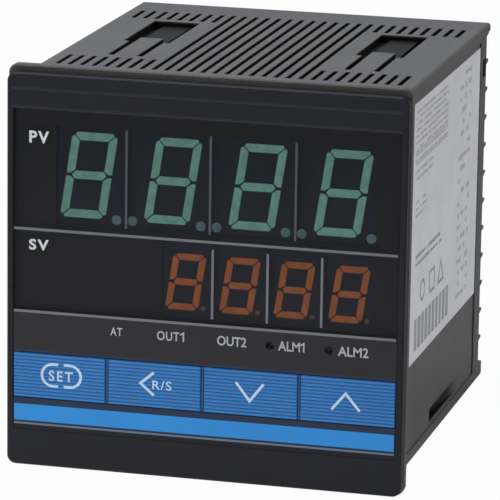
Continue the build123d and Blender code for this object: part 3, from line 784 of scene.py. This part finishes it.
class Pattern:
    """A Geometry Nodes tree with named inputs, which makes pieces that repeat.

    Where its methods take a value, they also take a socket or the name of an input.
    """

    KINDS: ClassVar[dict[type, str]] = {
        int: "NodeSocketInt",
        float: "NodeSocketFloat",
        bpy.types.Object: "NodeSocketObject",
    }

    def __init__(self, name: str, finish: Finish, sizes: dict[str, object]) -> None:
        """Start a tree.

        Args:
            name: The tree's name.
            finish: What its pieces are made of.
            sizes: A value for each named input, from which its type follows.
        """
        self.finish = finish
        self.tree = bpy.data.node_groups.new(name, "GeometryNodeTree")
        self.graph = Graph(self.tree)
        face = self.tree.interface
        for way in ("INPUT", "OUTPUT"):
            face.new_socket("Geometry", in_out=way, socket_type="NodeSocketGeometry")
        self.sockets = {}
        for label, value in sizes.items():
            made = face.new_socket(label, in_out="INPUT", socket_type=self.KINDS[type(value)])
            self.sockets[label] = made.identifier
        self.source = self.graph.add("NodeGroupInput")

    def node(self, kind: str, inputs: dict, output: int | str = 0, **settings: object) -> object:
        """Add a node.

        Args:
            kind: The node's type name.
            inputs: What goes into it, by name or index.
            output: Name or index of the output that is wanted.
            **settings: The node's own properties.

        Returns:
            The socket of that output.
        """
        outer = self.source.outputs
        named = {key: outer[item] if isinstance(item, str) else item for key, item in inputs.items()}
        return self.graph.add(kind, named, **settings).outputs[output]

    def math(self, operation: str, *values: object) -> object:
        """Result of a Math node."""
        return self.node("ShaderNodeMath", dict(enumerate(values)), operation=operation)

    def vector(self, *parts: object) -> object:
        """Vector of three values."""
        return self.node("ShaderNodeCombineXYZ", dict(enumerate(parts)))

    def random(self, low: float, high: float) -> object:
        """Random number for each point, from the tree's Seed input."""
        inputs = {2: low, 3: high, "Seed": "Seed"}
        return self.node("FunctionNodeRandomValue", inputs, 1, data_type="FLOAT")

    def line(self, count: object, start: object, offset: object) -> object:
        """Points in a row."""
        inputs = {"Count": count, "Start Location": start, "Offset": offset}
        return self.node("GeometryNodeMeshLine", inputs)

    def grid(self, sizes: tuple, counts: tuple, middle: object, turn: Triple) -> object:
        """Points in rows and columns.

        Args:
            sizes: The grid's two lengths.
            counts: How many points lie along each of them.
            middle: Where the grid's middle goes.
            turn: How the grid is turned out of its own XY plane, in radians.

        Returns:
            The socket of the points.
        """
        inputs = dict(zip(("Size X", "Size Y", "Vertices X", "Vertices Y"), sizes + counts))
        points = self.node("GeometryNodeMeshGrid", inputs)
        return self.moved(points, Translation=middle, Rotation=turn)

    def block(self, *sizes: object) -> object:
        """Block of three sizes, round the origin."""
        return self.node("GeometryNodeMeshCube", {"Size": self.vector(*sizes)})

    def moved(self, geometry: object, **moves: object) -> object:
        """Geometry after the moves that a Transform node knows by these names."""
        return self.node("GeometryNodeTransform", {"Geometry": geometry, **moves})

    def instances(self, points: object, shape: object, **fields: object) -> object:
        """A copy of a shape on each point."""
        inputs = {"Points": points, "Instance": shape, **fields}
        return self.node("GeometryNodeInstanceOnPoints", inputs)

    def close(self, geometry: object) -> None:
        """Make the instances real, set their material and end the tree."""
        real = self.node("GeometryNodeRealizeInstances", {0: geometry})
        inputs = {"Geometry": real, "Material": self.finish.material()}
        self.graph.add("NodeGroupOutput", {0: self.node("GeometryNodeSetMaterial", inputs)})

    def make(self, name: str, sizes: dict[str, object]) -> bpy.types.Object:
        """Run the tree with these sizes.

        Args:
            name: The piece's name.
            sizes: A value for each named input, lengths in metres.

        Returns:
            An object with a plain mesh and no modifier.
        """
        piece = new_object(name, bpy.data.meshes.new(name + "_seed"))
        modifier = piece.modifiers.new(name, "NODES")
        modifier.node_group = self.tree
        for label, value in sizes.items():
            modifier[self.sockets[label]] = value
        mesh = baked(piece)
        piece.modifiers.remove(modifier)
        piece.data = mesh
        mesh.name = name
        return piece


@dataclass
class Assembly:
    """A sub-assembly of the controller: CAD nodes with a finish, and pieces made round them."""

    frame: dict
    finishes: ClassVar[dict[str, Finish]] = {}

    def build(self) -> None:
        """Dress the nodes in place of the plain finish that they came with, then add pieces."""
        for node, finish in self.finishes.items():
            mesh = self.frame["nodes"][node].data
            mesh.materials.clear()
            mesh.materials.append(finish.material())
            log.info("dressed %s with %s", node, finish.name)
        self.details()

    def details(self) -> None:
        """Make the pieces that the CAD model lacks, in those assemblies that have them."""


@dataclass(frozen=True)
class PrintRows:
    """Rows of small blocks that read as lines of print from afar, in millimetres."""

    name: str
    lines: int
    letters: int
    line_pitch: float
    letter_pitch: float
    front: float
    top: float
    gaps: float
    seed: int
    ink: Ink = SMALL_PRINT


@dataclass
class CaseAssembly(Assembly):
    """Case shell with its side label, and the terminal block on its back."""

    finishes: ClassVar[dict[str, Finish]] = {
        "case_shell": CASE,
        "terminal_block": BLOCK,
        "side_label": LABEL,
        "terminal_plates": BRASS,
        "clamp_washers": STEEL,
        "left_edge_socket": SOCKET,
        "right_edge_socket": SOCKET,
    }
    rows: tuple[PrintRows, ...] = (
        PrintRows("label_lines_top", 9, 44, 1.45, 0.8, 15.8, 38.9, 0.14, 11),
        PrintRows("label_lines_middle", 2, 24, 1.7, 0.8, 15.8, 24.6, 0.16, 12),
        PrintRows("label_lines_short", 3, 14, 1.6, 0.85, 16.8, 17.2, 0.2, 13),
        PrintRows("label_lines_low", 2, 32, 1.9, 0.9, 18.1, 3.9, 0.1, 14, LABEL_INK),
        PrintRows("label_column", 20, 7, 2.9, 1.9, 65.5, 38.2, 0.5, 16),
    )
    letter_height: float = 0.52
    letter_width: float = 0.78
    rule_heights: tuple[float, ...] = (29.5, 26.6)
    rule_ends: Point = (15.6, 50.2)
    rule_width: float = 0.24
    mark_stroke: float = 0.8
    ring_middle: Point = (26.0, -5.6)
    ring_radius: float = 2.3
    square: Outline = ((34.0, -8.2), (39.2, -8.2), (39.2, -3.2), (34.0, -3.2), (34.0, -7.9))
    triangle: Outline = ((43.5, -8.2), (49.5, -8.2), (46.5, -3.0), (43.7, -7.9))
    screw_rows: int = 12
    screw_columns: int = 2
    screw_sides: int = 24
    washer_side: float = 5.2
    shank_radius: float = 1.4
    recess_width: float = 0.75
    recess_depth: float = 1.0
    recess_reach: float = 1.75
    head_round: float = 0.5
    sharp_angle: float = 35.0

    def details(self) -> None:
        """Make the label's print and the screws."""
        self.label_text()
        self.label_rules()
        self.label_bars()
        self.label_marks()
        self.terminal_screws()

    def label_face(self) -> float:
        """How far out the label's face lies, in millimetres."""
        return span("side_label")[1].x

    def printed(self, name: str, outlines: list[Outline]) -> None:
        """Print flat shapes on the label."""
        mesh = plate_mesh(name, outlines, Side.RIGHT, self.label_face())
        settle(new_object(name, mesh, LABEL_INK), "case", "label_paper")

    def text_pattern(self, ink: Ink, sizes: dict[str, object]) -> Pattern:
        """Tree that sets the blocks of print, with gaps between words."""
        tree = Pattern("label_lines", ink, sizes)
        length = tree.math("MULTIPLY", tree.math("SUBTRACT", "Letters", 1), "Letter pitch")
        drop = tree.math("MULTIPLY", tree.math("SUBTRACT", "Lines", 1), "Line pitch")
        across = tree.math("MULTIPLY_ADD", length, 0.5, "Front")
        up = tree.math("MULTIPLY_ADD", drop, -0.5, "Top")
        middle = tree.vector("Face", across, up)
        placed = tree.grid((drop, length), ("Lines", "Letters"), middle, (0.0, math.pi / 2, 0.0))
        blank = tree.math("LESS_THAN", tree.random(0.0, 1.0), "Gaps")
        inputs = {"Geometry": placed, "Selection": blank}
        kept = tree.node("GeometryNodeDeleteGeometry", inputs, domain="POINT")
        width = tree.math("MULTIPLY", "Letter pitch", self.letter_width)
        block = tree.block("Ink", width, "Height")
        tall = tree.random(0.55, 1.0)
        tree.close(tree.instances(kept, block, Scale=tree.vector(1.0, 1.0, tall)))
        return tree

    def label_text(self) -> None:
        """Rows of plain blocks where the label has small print, with one tree for each ink."""
        trees = {}
        for rows in self.rows:
            sizes = {
                "Lines": rows.lines,
                "Letters": rows.letters,
                "Line pitch": rows.line_pitch * MM,
                "Letter pitch": rows.letter_pitch * MM,
                "Front": rows.front * MM,
                "Top": rows.top * MM,
                "Face": (self.label_face() + INK_THICKNESS / 2) * MM,
                "Height": rows.line_pitch * self.letter_height * MM,
                "Ink": INK_THICKNESS * MM,
                "Gaps": rows.gaps,
                "Seed": rows.seed,
            }
            if rows.ink not in trees:
                trees[rows.ink] = self.text_pattern(rows.ink, sizes)
            settle(trees[rows.ink].make(rows.name, sizes), "case", "label_paper")

    def label_rules(self) -> None:
        """Two thin rules among the rows."""
        front, back = self.rule_ends
        half = self.rule_width / 2
        outlines = [rectangle(front, z - half, back, z + half) for z in self.rule_heights]
        self.printed("label_rules", outlines)

    def label_bars(self) -> None:
        """Block of upright bars of mixed widths near the label's lower front corner."""
        sizes = {
            "Bars": 10,
            "Pitch": 3.9 * MM,
            "Height": 7.6 * MM,
            "Front": 19.3 * MM,
            "Middle": -15.1 * MM,
            "Face": (self.label_face() + INK_THICKNESS / 2) * MM,
            "Ink": INK_THICKNESS * MM,
            "Seed": 5,
        }
        tree = Pattern("label_bar_block", LABEL_INK, sizes)
        start = tree.vector("Face", "Front", "Middle")
        line = tree.line("Bars", start, tree.vector(0.0, "Pitch", 0.0))
        bar = tree.block("Ink", "Pitch", "Height")
        widths = tree.vector(1.0, tree.random(0.4, 0.8), 1.0)
        tree.close(tree.instances(line, bar, Scale=widths))
        settle(tree.make("label_bars", sizes), "case", "label_paper")

    def label_marks(self) -> None:
        """Plain ring, square and triangle where the label has its marks."""
        ring = arc(self.ring_middle, self.ring_radius, 0.0, 350.0, 20)
        paths = (ring, self.square, self.triangle)
        self.printed("label_marks", [ribbon(path, self.mark_stroke) for path in paths])

    def screw_head(self) -> bpy.types.Object:
        """One screw with a rounded head and a cross recess, its seat at the origin."""
        low, high = span("terminal_screws")
        seat, spread = self.screw_grid()
        head_height = high.y - seat.y
        foot = low.y - seat.y
        radius = (high.z - low.z - spread.z) / 2
        flat = radius - self.head_round
        rim = arc((flat, head_height - self.head_round), self.head_round, 90.0, 0.0, 5)
        profile = [(0.0, head_height), *rim, (radius, 0.0)]
        profile += [(self.shank_radius, 0.0), (self.shank_radius, foot), (0.0, foot)]
        work = bmesh.new()
        chain = [work.verts.new((u * MM, v * MM, 0.0)) for u, v in profile]
        edges = [work.edges.new(pair) for pair in zip(chain, chain[1:])]
        bmesh.ops.spin(
            work,
            geom=chain + edges,
            cent=(0, 0, 0),
            axis=(0, 1, 0),
            angle=2 * math.pi,
            steps=self.screw_sides,
        )
        name = "terminal_screw_blank"
        screw = new_object(name, filled(bpy.data.meshes.new(name), work, SAME_PLACE / 10), STEEL)
        cutter = self.recess_cutter(head_height)
        cut = screw.modifiers.new("recess", "BOOLEAN")
        cut.object = cutter
        cut.operation = "DIFFERENCE"
        cut.solver = "EXACT"
        screw.data = baked(screw)
        screw.modifiers.clear()
        bpy.data.objects.remove(cutter)
        screw.data.set_sharp_from_angle(angle=math.radians(self.sharp_angle))
        return screw

    def recess_cutter(self, head_height: float) -> bpy.types.Object:
        """Cross-shaped prism that reaches down into a screw's head."""
        reach, half = self.recess_reach, self.recess_width / 2
        quarter = [(half, -reach), (half, -half), (reach, -half)]
        cross = quarter + [(u, -v) for u, v in quarter[::-1]]
        cross += [(-u, -v) for u, v in cross]
        floor = head_height - self.recess_depth
        mesh = plate_mesh("recess_cutter", [cross], Side.FRONT, floor, self.recess_depth + 1.0)
        mesh.transform(Matrix.Rotation(math.pi, 4, "Z"))
        return new_object("recess_cutter", mesh, STEEL)

    def screw_grid(self) -> tuple[Vector, Vector]:
        """Where the screws' seats lie, from the washers under them.

        Returns:
            The middle of all the seats and how far apart the outer ones are, in millimetres.
        """
        low, high = span("clamp_washers")
        middle = (low + high) / 2
        side = Vector((self.washer_side, 0.0, self.washer_side))
        return Vector((middle.x, high.y, middle.z)), high - low - side

    def terminal_screws(self) -> None:
        """All terminal screws, each turned to its own angle."""
        blank = self.screw_head()
        seat, spread = self.screw_grid()
        sizes = {
            "Rows": self.screw_rows,
            "Columns": self.screw_columns,
            "Width": spread.x * MM,
            "Height": spread.z * MM,
            "Middle X": seat.x * MM,
            "Seat": seat.y * MM,
            "Middle Z": seat.z * MM,
            "Screw": blank,
            "Seed": 3,
        }
        tree = Pattern("terminal_screw_rows", STEEL, sizes)
        middle = tree.vector("Middle X", "Seat", "Middle Z")
        turn = (math.pi / 2, 0.0, 0.0)
        placed = tree.grid(("Width", "Height"), ("Columns", "Rows"), middle, turn)
        screw = tree.node("GeometryNodeObjectInfo", {"Object": "Screw"}, "Geometry")
        turned = tree.vector(0.0, tree.random(0.0, math.pi), 0.0)
        tree.close(tree.instances(placed, screw, Rotation=turned))
        piece = tree.make("terminal_screws_cross_head", sizes)
        bpy.data.objects.remove(blank)
        settle(piece, "case", "steel", "terminal_screws")


@dataclass
class FrontPanel(Assembly):
    """Front frame with its smoked window, printed lines and words, and the strips."""

    finishes: ClassVar[dict[str, Finish]] = {
        "front_frame": FRAME,
        "display_window": PANE,
        "name_strip": STRIP,
        "trim_line": SILVER,
    }
    mask_thickness: float = 0.06
    opening_inset: float = 0.15
    band_overlap: float = 0.1
    open_lamps: tuple[float, ...] = (16.0, 30.0)
    line_height: float = 0.62
    line_ends: Point = (-46.0, 45.8)
    upper_line: float = 9.45
    lower_line: float = -10.36
    joint_width: float = 0.55
    pv_joints: tuple[float, ...] = (-18.8, 1.3, 21.6)
    pv_joint_insets: Point = (0.5, 0.0)
    sv_joints: tuple[float, ...] = (2.1, 15.2, 28.1)
    sv_joint_insets: Point = (1.0, 1.2)
    key_clearance: float = 0.2
    # Width of the painted shade line along the strip's lower edge.
    strip_edge: float = 0.3
    web_clearance: float = 0.12
    web_depth: float = 0.8
    titles: tuple[Lettering, ...] = (
        Lettering("PV", -42.3, -37.5, 30.0, 32.9, 0.03, 1.25),
        Lettering("SV", -42.3, -37.5, 4.5, 7.1, 0.03, 1.25),
    )
    words: tuple[Lettering, ...] = (
        Lettering("AT", -22.4, -19.5, -14.6, -12.65, spacing=1.15),
        Lettering("OUT", -11.1, -5.7, -14.8, -12.6, spacing=1.1),
        Lettering("OUT2", 3.4, 10.4, -14.9, -12.6),
        Lettering("ALM", 18.0, 23.2, -15.0, -12.7),
        Lettering("ALM2", 32.2, 39.4, -15.1, -12.8),
    )
    ones: tuple[Point, ...] = ((-4.7, -14.8), (24.1, -15.0))
    one_height: float = 2.3
    one_stroke: float = 0.34
    one_flag: float = 0.75
    bead_heights: tuple[float, ...] = (42.85, 38.5)
    bead_width: float = 0.9
    bead_proud: float = 0.14
    bead_inset: float = 1.2
    bead_facets: int = 8

    def details(self) -> None:
        """Print on the window and round the keys, and make the frame's beads."""
        self.masks()
        self.lines()
        self.joints()
        self.key_surround()
        self.lettering()
        self.beads()

    def face(self) -> float:
        """How far out the window's face lies, in millimetres."""
        return -span("display_window")[0].y

    def printed(self, name: str, outlines: list[Outline], ink: Ink, slot: str = "silver_film") -> None:
        """Print flat shapes on the window's face."""
        piece = new_object(name, plate_mesh(name, outlines, Side.FRONT, self.face()), ink)
        settle(piece, "chassis", slot)

    def opening(self, node: str) -> Outline:
        """Opening in the mask in front of a display block."""
        low, high = span(node)
        inset = self.opening_inset
        return rectangle(low.x + inset, low.z + inset, high.x - inset, high.z - inset)

    def masks(self) -> None:
        """Opaque print behind the displays' part of the window, and a band on its face."""
        low, high = span("display_window")
        upper = rectangle(low.x, self.lower_line, high.x, high.z)
        holes = [self.opening("pv_display"), self.opening("sv_display")]
        piece = pierced("window_mask_upper", upper, holes, -high.y, self.mask_thickness, MASK)
        settle(piece, "chassis", "display_dark")
        lower = rectangle(low.x, low.z - self.band_overlap, high.x, self.lower_line)
        lamp_low, lamp_high = span("status_lamps")
        middle = (lamp_low.z + lamp_high.z) / 2
        radius = (lamp_high.z - lamp_low.z) / 2
        dots = [arc((x, middle), radius, 0.0, 345.0, 23) for x in self.open_lamps]
        piece = pierced("window_band", lower, dots, self.face(), INK_THICKNESS / 2, BAND)
        settle(piece, "chassis", "display_dark")

    def lines(self) -> None:
        """The two grey lines across the window."""
        half = self.line_height / 2
        left, right = self.line_ends
        middles = (self.upper_line, self.lower_line)
        outlines = [rectangle(left, z - half, right, z + half) for z in middles]
        self.printed("window_lines", outlines, LINE)

    def joints(self) -> None:
        """Upright lines over the joints between the displays' modules."""
        half = self.joint_width / 2
        for name, places, (foot, head), ink in (
            ("pv", self.pv_joints, self.pv_joint_insets, JOINT),
            ("sv", self.sv_joints, self.sv_joint_insets, LINE),
        ):
            low, high = span(f"{name}_display")
            outlines = [rectangle(x - half, low.z + foot, x + half, high.z - head) for x in places]
            self.printed(f"{name}_joint_lines", outlines, ink)

    def key_surround(self) -> None:
        """Print on the sheet area round the keys and the strip, a painted shade line along the strip's
        lower edge, and the webs between keys.
        """
        keys = [span(f"key_{name}") for name in KEY_NAMES]
        low, high = span("name_strip")
        gap = self.key_clearance
        top = span("display_window")[0].z - self.band_overlap
        bands = [(keys[0][1].z + gap, top), (high.z, keys[0][0].z - gap)]
        outlines = [rectangle(low.x, foot, high.x, head) for foot, head in bands]
        self.printed("key_surround", outlines, SURROUND, "strip_blue")
        # Painted shade: a dark line along the strip's lower edge, where the gap below the strip is in
        # shade.
        line = rectangle(low.x, low.z, high.x, low.z + self.strip_edge)
        mesh = plate_mesh("strip_edge", [line], Side.FRONT, -low.y)
        settle(new_object("strip_edge", mesh, SURROUND), "chassis", "strip_blue")
        inset, depth = self.web_clearance, self.web_depth
        webs = [
            rectangle(left[1].x + inset, left[0].z, right[0].x - inset, left[1].z)
            for left, right in zip(keys, keys[1:])
        ]
        mesh = plate_mesh("key_webs", webs, Side.FRONT, self.face() - depth, depth)
        settle(new_object("key_webs", mesh, KEY_WEB), "chassis", "strip_blue")

    def lettering(self) -> None:
        """Plain function words on the window, with the figure 1 drawn after two of them."""
        groups = (("window_titles", self.titles, TITLE), ("window_words", self.words, LETTER))
        for name, words, ink in groups:
            meshes = [word.mesh(f"{name}_{i}", self.face()) for i, word in enumerate(words)]
            settle(joined(name, meshes, ink), "chassis", "silver_film")
        outlines = []
        flag, stroke = self.one_flag, self.one_stroke
        for x, foot in self.ones:
            head = foot + self.one_height
            path = [(x - flag, head - flag), (x, head - stroke / 2), (x, foot)]
            outlines.append(ribbon(path, stroke))
        self.printed("window_figures", outlines, LETTER)

    def beads(self) -> None:
        """Shallow rounded beads along the frame's face above the window, lighter than the frame as a
        painted highlight.
        """
        low, high = span("front_frame")
        ends = (low.x + self.bead_inset, high.x - self.bead_inset)
        turns = [math.pi * i / self.bead_facets for i in range(self.bead_facets + 1)]
        work = bmesh.new()
        for middle in self.bead_heights:
            profile = [
                (middle + self.bead_width / 2 * math.cos(t), -low.y + self.bead_proud * math.sin(t))
                for t in turns
            ]
            add_prism(work, *([Side.FRONT.point(x, up, out) for up, out in profile] for x in ends))
        mesh = filled(bpy.data.meshes.new("frame_beads"), work)
        settle(new_object("frame_beads", mesh, BEAD_HIGHLIGHT), "chassis", "frame_plastic")


@dataclass
class Displays(Assembly):
    """The two display blocks with their bars and points, and the status lamps."""

    finishes: ClassVar[dict[str, Finish]] = {
        "pv_display": DISPLAY_FACE,
        "sv_display": DISPLAY_FACE,
        "pv_segments": PV_BAR,
        "pv_points": PV_POINT,
        "sv_segments": SV_BAR,
        "sv_points": SV_POINT,
        "status_lamps": LAMP,
    }


@dataclass
class KeyRow(Assembly):
    """Four ribbed keys with their printed symbols."""

    finishes: ClassVar[dict[str, Finish]] = {
        **{f"key_{name}": KEY for name in KEY_NAMES},
        **{f"plunger_{name}": PLUNGER for name in KEY_NAMES},
        "key_switches": SWITCH,
    }
    ribs: int = 13
    rib_width: float = 0.54
    rib_height: float = 0.06
    rib_sides: int = 8
    border: float = 0.15
    stroke: float = 0.62
    sunk_share: float = 0.6
    ring_radius: float = 2.64
    ring_middle: float = -25.37
    ring_centres: Point = (-36.35, -32.1)
    ring_ends: Point = (-35.0, -33.65)
    arrows: ClassVar[dict[str, Outline]] = {
        "shift": [(-11.7, -22.7), (-14.9, -25.45), (-11.65, -28.2)],
        "down": [(8.1, -23.3), (11.45, -27.6), (14.75, -23.3)],
        "up": [(31.0, -27.9), (34.3, -23.9), (37.7, -27.9)],
    }
    words: ClassVar[dict[str, Lettering]] = {
        "set": Lettering("SET", -37.3, -31.4, -26.75, -24.25, spacing=1.25),
        "shift": Lettering("R/S", -12.0, -7.4, -26.7, -24.55, 0.005, 1.15),
    }

    def details(self) -> None:
        """Make the keys' ribs and symbols."""
        self.key_ribs()
        self.symbols()

    def rib_pattern(self, sizes: dict[str, object]) -> Pattern:
        """Tree that lays half-round ribs across a key's face."""
        tree = Pattern("key_ribs", KEY_RIB, sizes)
        start = tree.vector("Middle", "Face", "Foot")
        line = tree.line("Ribs", start, tree.vector(0.0, 0.0, "Pitch"))
        radius = tree.math("MULTIPLY", "Width", 0.5)
        inputs = {"Vertices": self.rib_sides, "Radius": radius, "Depth": "Length"}
        rod = tree.node("GeometryNodeMeshCylinder", inputs)
        flat = tree.vector(1.0, tree.math("DIVIDE", "Proud", radius), 1.0)
        rib = tree.moved(rod, Rotation=(0.0, math.pi / 2, 0.0), Scale=flat)
        tree.close(tree.instances(line, rib))
        return tree

    def key_ribs(self) -> None:
        """Ribs on each key, all from one tree."""
        tree = None
        for name in KEY_NAMES:
            low, high = span(f"key_{name}")
            foot = low.z + self.border + self.rib_width / 2
            head = high.z - self.border - self.rib_width / 2
            sizes = {
                "Ribs": self.ribs,
                "Pitch": (head - foot) / (self.ribs - 1) * MM,
                "Length": (high.x - low.x - 2 * self.border) * MM,
                "Width": self.rib_width * MM,
                "Proud": self.rib_height * MM,
                "Middle": (low.x + high.x) / 2 * MM,
                "Face": low.y * MM,
                "Foot": foot * MM,
            }
            tree = tree or self.rib_pattern(sizes)
            settle(tree.make(f"key_{name}_ribs", sizes), f"key_{name}_body", "key_blue")

    def ring(self) -> list[Outline]:
        """Paths of the two halves of the ring round SET, with gaps between them."""
        halves = []
        for centre, end, start in zip(self.ring_centres, self.ring_ends, (90.0, -90.0)):
            bend = arc((centre, self.ring_middle), self.ring_radius, start, start + 180.0, 16)
            halves.append([(end, bend[0][1]), *bend, (end, bend[-1][1])])
        return halves

    def symbols(self) -> None:
        """Ring round SET, arrows, and R/S, each on its own key and sunk between its ribs."""
        for name in KEY_NAMES:
            paths = [self.arrows[name]] if name in self.arrows else self.ring()
            face = -span(f"key_{name}")[0].y + self.rib_height * self.sunk_share
            outlines = [ribbon(path, self.stroke) for path in paths]
            meshes = [plate_mesh(f"key_{name}_lines", outlines, Side.FRONT, face)]
            if name in self.words:
                meshes.append(self.words[name].mesh(f"key_{name}_word", face))
            settle(joined(f"key_{name}_symbol", meshes, SYMBOL), f"key_{name}_body", "key_blue")


@dataclass
class Chassis(Assembly):
    """Boards behind the front, with what stands on them."""

    finishes: ClassVar[dict[str, Finish]] = {
        "display_board": BOARD_FRONT,
        "processor_board": BOARD_SIDE,
        "power_board": BOARD_SIDE,
        "frame_screws": STEEL,
        "board_headers": HEADER,
        "board_spacers": HEADER,
        "controller_chip": CHIP,
        "output_relays": RELAY,
        "transformer_core": CORE,
        "transformer_coil": COIL,
        "smoothing_capacitors": CAN,
    }


@dataclass(frozen=True)
class Softbox:
    """A square area lamp that looks at the controller. Lengths are in metres, power in watts."""

    name: str
    place: Triple
    width: float
    power: float
    colour: Triple = (1.0, 1.0, 1.0)

    def light(self) -> None:
        """Put the lamp into the scene."""
        lamp = bpy.data.lights.new(self.name, "AREA")
        lamp.shape = "SQUARE"
        lamp.size = self.width
        lamp.energy = self.power
        lamp.color = self.colour
        holder = bpy.data.objects.new(self.name, lamp)
        holder.location = self.place
        holder.rotation_mode = "QUATERNION"
        holder.rotation_quaternion = Vector(self.place).to_track_quat("Z", "Y")
        bpy.context.scene.collection.objects.link(holder)


@dataclass
class Studio:
    """Camera at the photograph's angle, soft lamps, pale floor and white surroundings.

    The camera's angles are in degrees, its focal length and picture in pixels, and its aim in
    millimetres. The floor's lengths are in metres.
    """

    picture: float = 500.0
    focal: float = 4132.689
    yaw: float = 14.501
    pitch: float = 13.5
    roll: float = 0.85
    aim: Triple = (-9.607, -6.35, 959.372)
    sensor: float = 36.0
    floor_size: float = 3.0
    floor_paint: float = 0.62
    floor_white: float = 0.97
    floor_glow: float = 1.25
    glow_offset: Triple = (0.05, 0.12, 0.0)
    glow_reach: Point = (0.06, 0.24)
    ambient: float = 0.28
    gloss_front: Tone = grey(0.03)
    gloss_back: Tone = (0.62, 0.68, 0.78, 1.0)
    gloss_ramp: Point = (-0.3, 0.5)
    boxes: tuple[Softbox, ...] = (
        Softbox("top_softbox", (-0.25, 0.12, 0.9), 0.9, 9.8, (0.82, 0.91, 1.0)),
        Softbox("front_softbox", (-0.45, -0.95, 0.2), 0.7, 1.75),
        Softbox("right_softbox", (0.95, 0.2, 0.3), 0.7, 0.8, (1.0, 0.84, 0.75)),
        Softbox("left_softbox", (-0.9, 0.4, 0.3), 0.7, 2.0),
    )

    def build(self) -> None:
        """Set up the camera, the lamps, the floor and the world."""
        self.camera()
        for box in self.boxes:
            box.light()
        self.floor()
        self.world()
        bpy.context.scene.view_settings.view_transform = "Standard"

    def axes(self) -> tuple[Vector, Vector, Vector]:
        """The camera's right, up and forward directions."""
        yaw, pitch, roll = (math.radians(a) for a in (self.yaw, self.pitch, self.roll))
        forward = Vector(
            (-math.sin(yaw) * math.cos(pitch), math.cos(yaw) * math.cos(pitch), -math.sin(pitch))
        )
        level = Vector((math.cos(yaw), math.sin(yaw), 0.0))
        upright = level.cross(forward)
        right = level * math.cos(roll) + upright * math.sin(roll)
        up = upright * math.cos(roll) - level * math.sin(roll)
        return right, up, forward

    def camera(self) -> None:
        """Put the camera where the photograph was taken from."""
        right, up, forward = self.axes()
        place = -(right * self.aim[0] + up * self.aim[1] + forward * self.aim[2]) * MM
        data = bpy.data.cameras.new("camera")
        data.sensor_width = self.sensor
        data.lens = self.focal / self.picture * self.sensor
        data.clip_start = 0.01
        holder = bpy.data.objects.new("camera", data)
        turn = Matrix((right, up, -forward)).transposed().to_4x4()
        holder.matrix_world = Matrix.Translation(place) @ turn
        bpy.context.scene.collection.objects.link(holder)
        bpy.context.scene.camera = holder

    def floor(self) -> None:
        """Pale floor that the bezel stands on, which lights the front from just before it.

        The camera sees the floor almost white and doesn't see its glow.
        """
        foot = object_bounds()[0].z
        half = self.floor_size / 2
        mesh = bpy.data.meshes.new("floor")
        corners = rectangle(-half, -half, half, half)
        mesh.from_pydata([(x, y, foot) for x, y in corners], [], [(0, 1, 2, 3)])
        made = bpy.data.materials.new("pale_floor")
        graph = Graph.of(made)
        paint = graph.add("ShaderNodeBsdfDiffuse", {"Color": grey(self.floor_paint)}).outputs[0]
        white = graph.add("ShaderNodeEmission", {"Color": grey(1.0)}).outputs[0]
        seen = graph.add("ShaderNodeLightPath").outputs["Is Camera Ray"]
        offset = graph.add("ShaderNodeMapping", {0: graph.place(), 1: self.glow_offset})
        distance = graph.add("ShaderNodeVectorMath", {0: offset.outputs[0]}, operation="LENGTH")
        glow = graph.remap(distance.outputs["Value"], self.glow_reach, (self.floor_glow, 0.0))
        unseen = graph.math("MULTIPLY", graph.math("SUBTRACT", 1.0, seen), glow)
        share = graph.math("MAXIMUM", graph.math("MULTIPLY", seen, self.floor_white), unseen)
        mixed = graph.add("ShaderNodeMixShader", {0: share, 1: paint, 2: white}).outputs[0]
        graph.add("ShaderNodeOutputMaterial", {"Surface": mixed})
        mesh.materials.append(made)
        new_object("floor", mesh)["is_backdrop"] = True

    def world(self) -> None:
        """White surroundings for the camera, darker ones for gloss and for other light."""
        world = bpy.data.worlds.new("studio")
        bpy.context.scene.world = world
        graph = Graph.of(world)
        path = graph.add("ShaderNodeLightPath").outputs
        gloss = graph.math("MAXIMUM", path["Is Glossy Ray"], path["Is Transmission Ray"])
        direction = graph.add("ShaderNodeTexCoord").outputs["Generated"]
        back = graph.remap(graph.parts(direction)["Y"], self.gloss_ramp)
        bright = graph.blend(back, self.gloss_front, self.gloss_back)
        strength = graph.blend(gloss, grey(self.ambient), bright)
        strength = graph.blend(path["Is Camera Ray"], strength, grey(1.0))
        surround = graph.add("ShaderNodeBackground", {"Color": strength, "Strength": 1.0})
        graph.add("ShaderNodeOutputWorld", {"Surface": surround.outputs[0]})


def main() -> None:
    """Build the studio and dress the controller, one assembly after another."""
    logging.basicConfig(level=logging.INFO, format="%(name)s: %(message)s")
    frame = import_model()
    Studio().build()
    for assembly in (CaseAssembly, FrontPanel, Displays, KeyRow, Chassis):
        assembly(frame).build()
        log.info("finished %s", assembly.__name__)


if __name__ == "__main__":
    main()
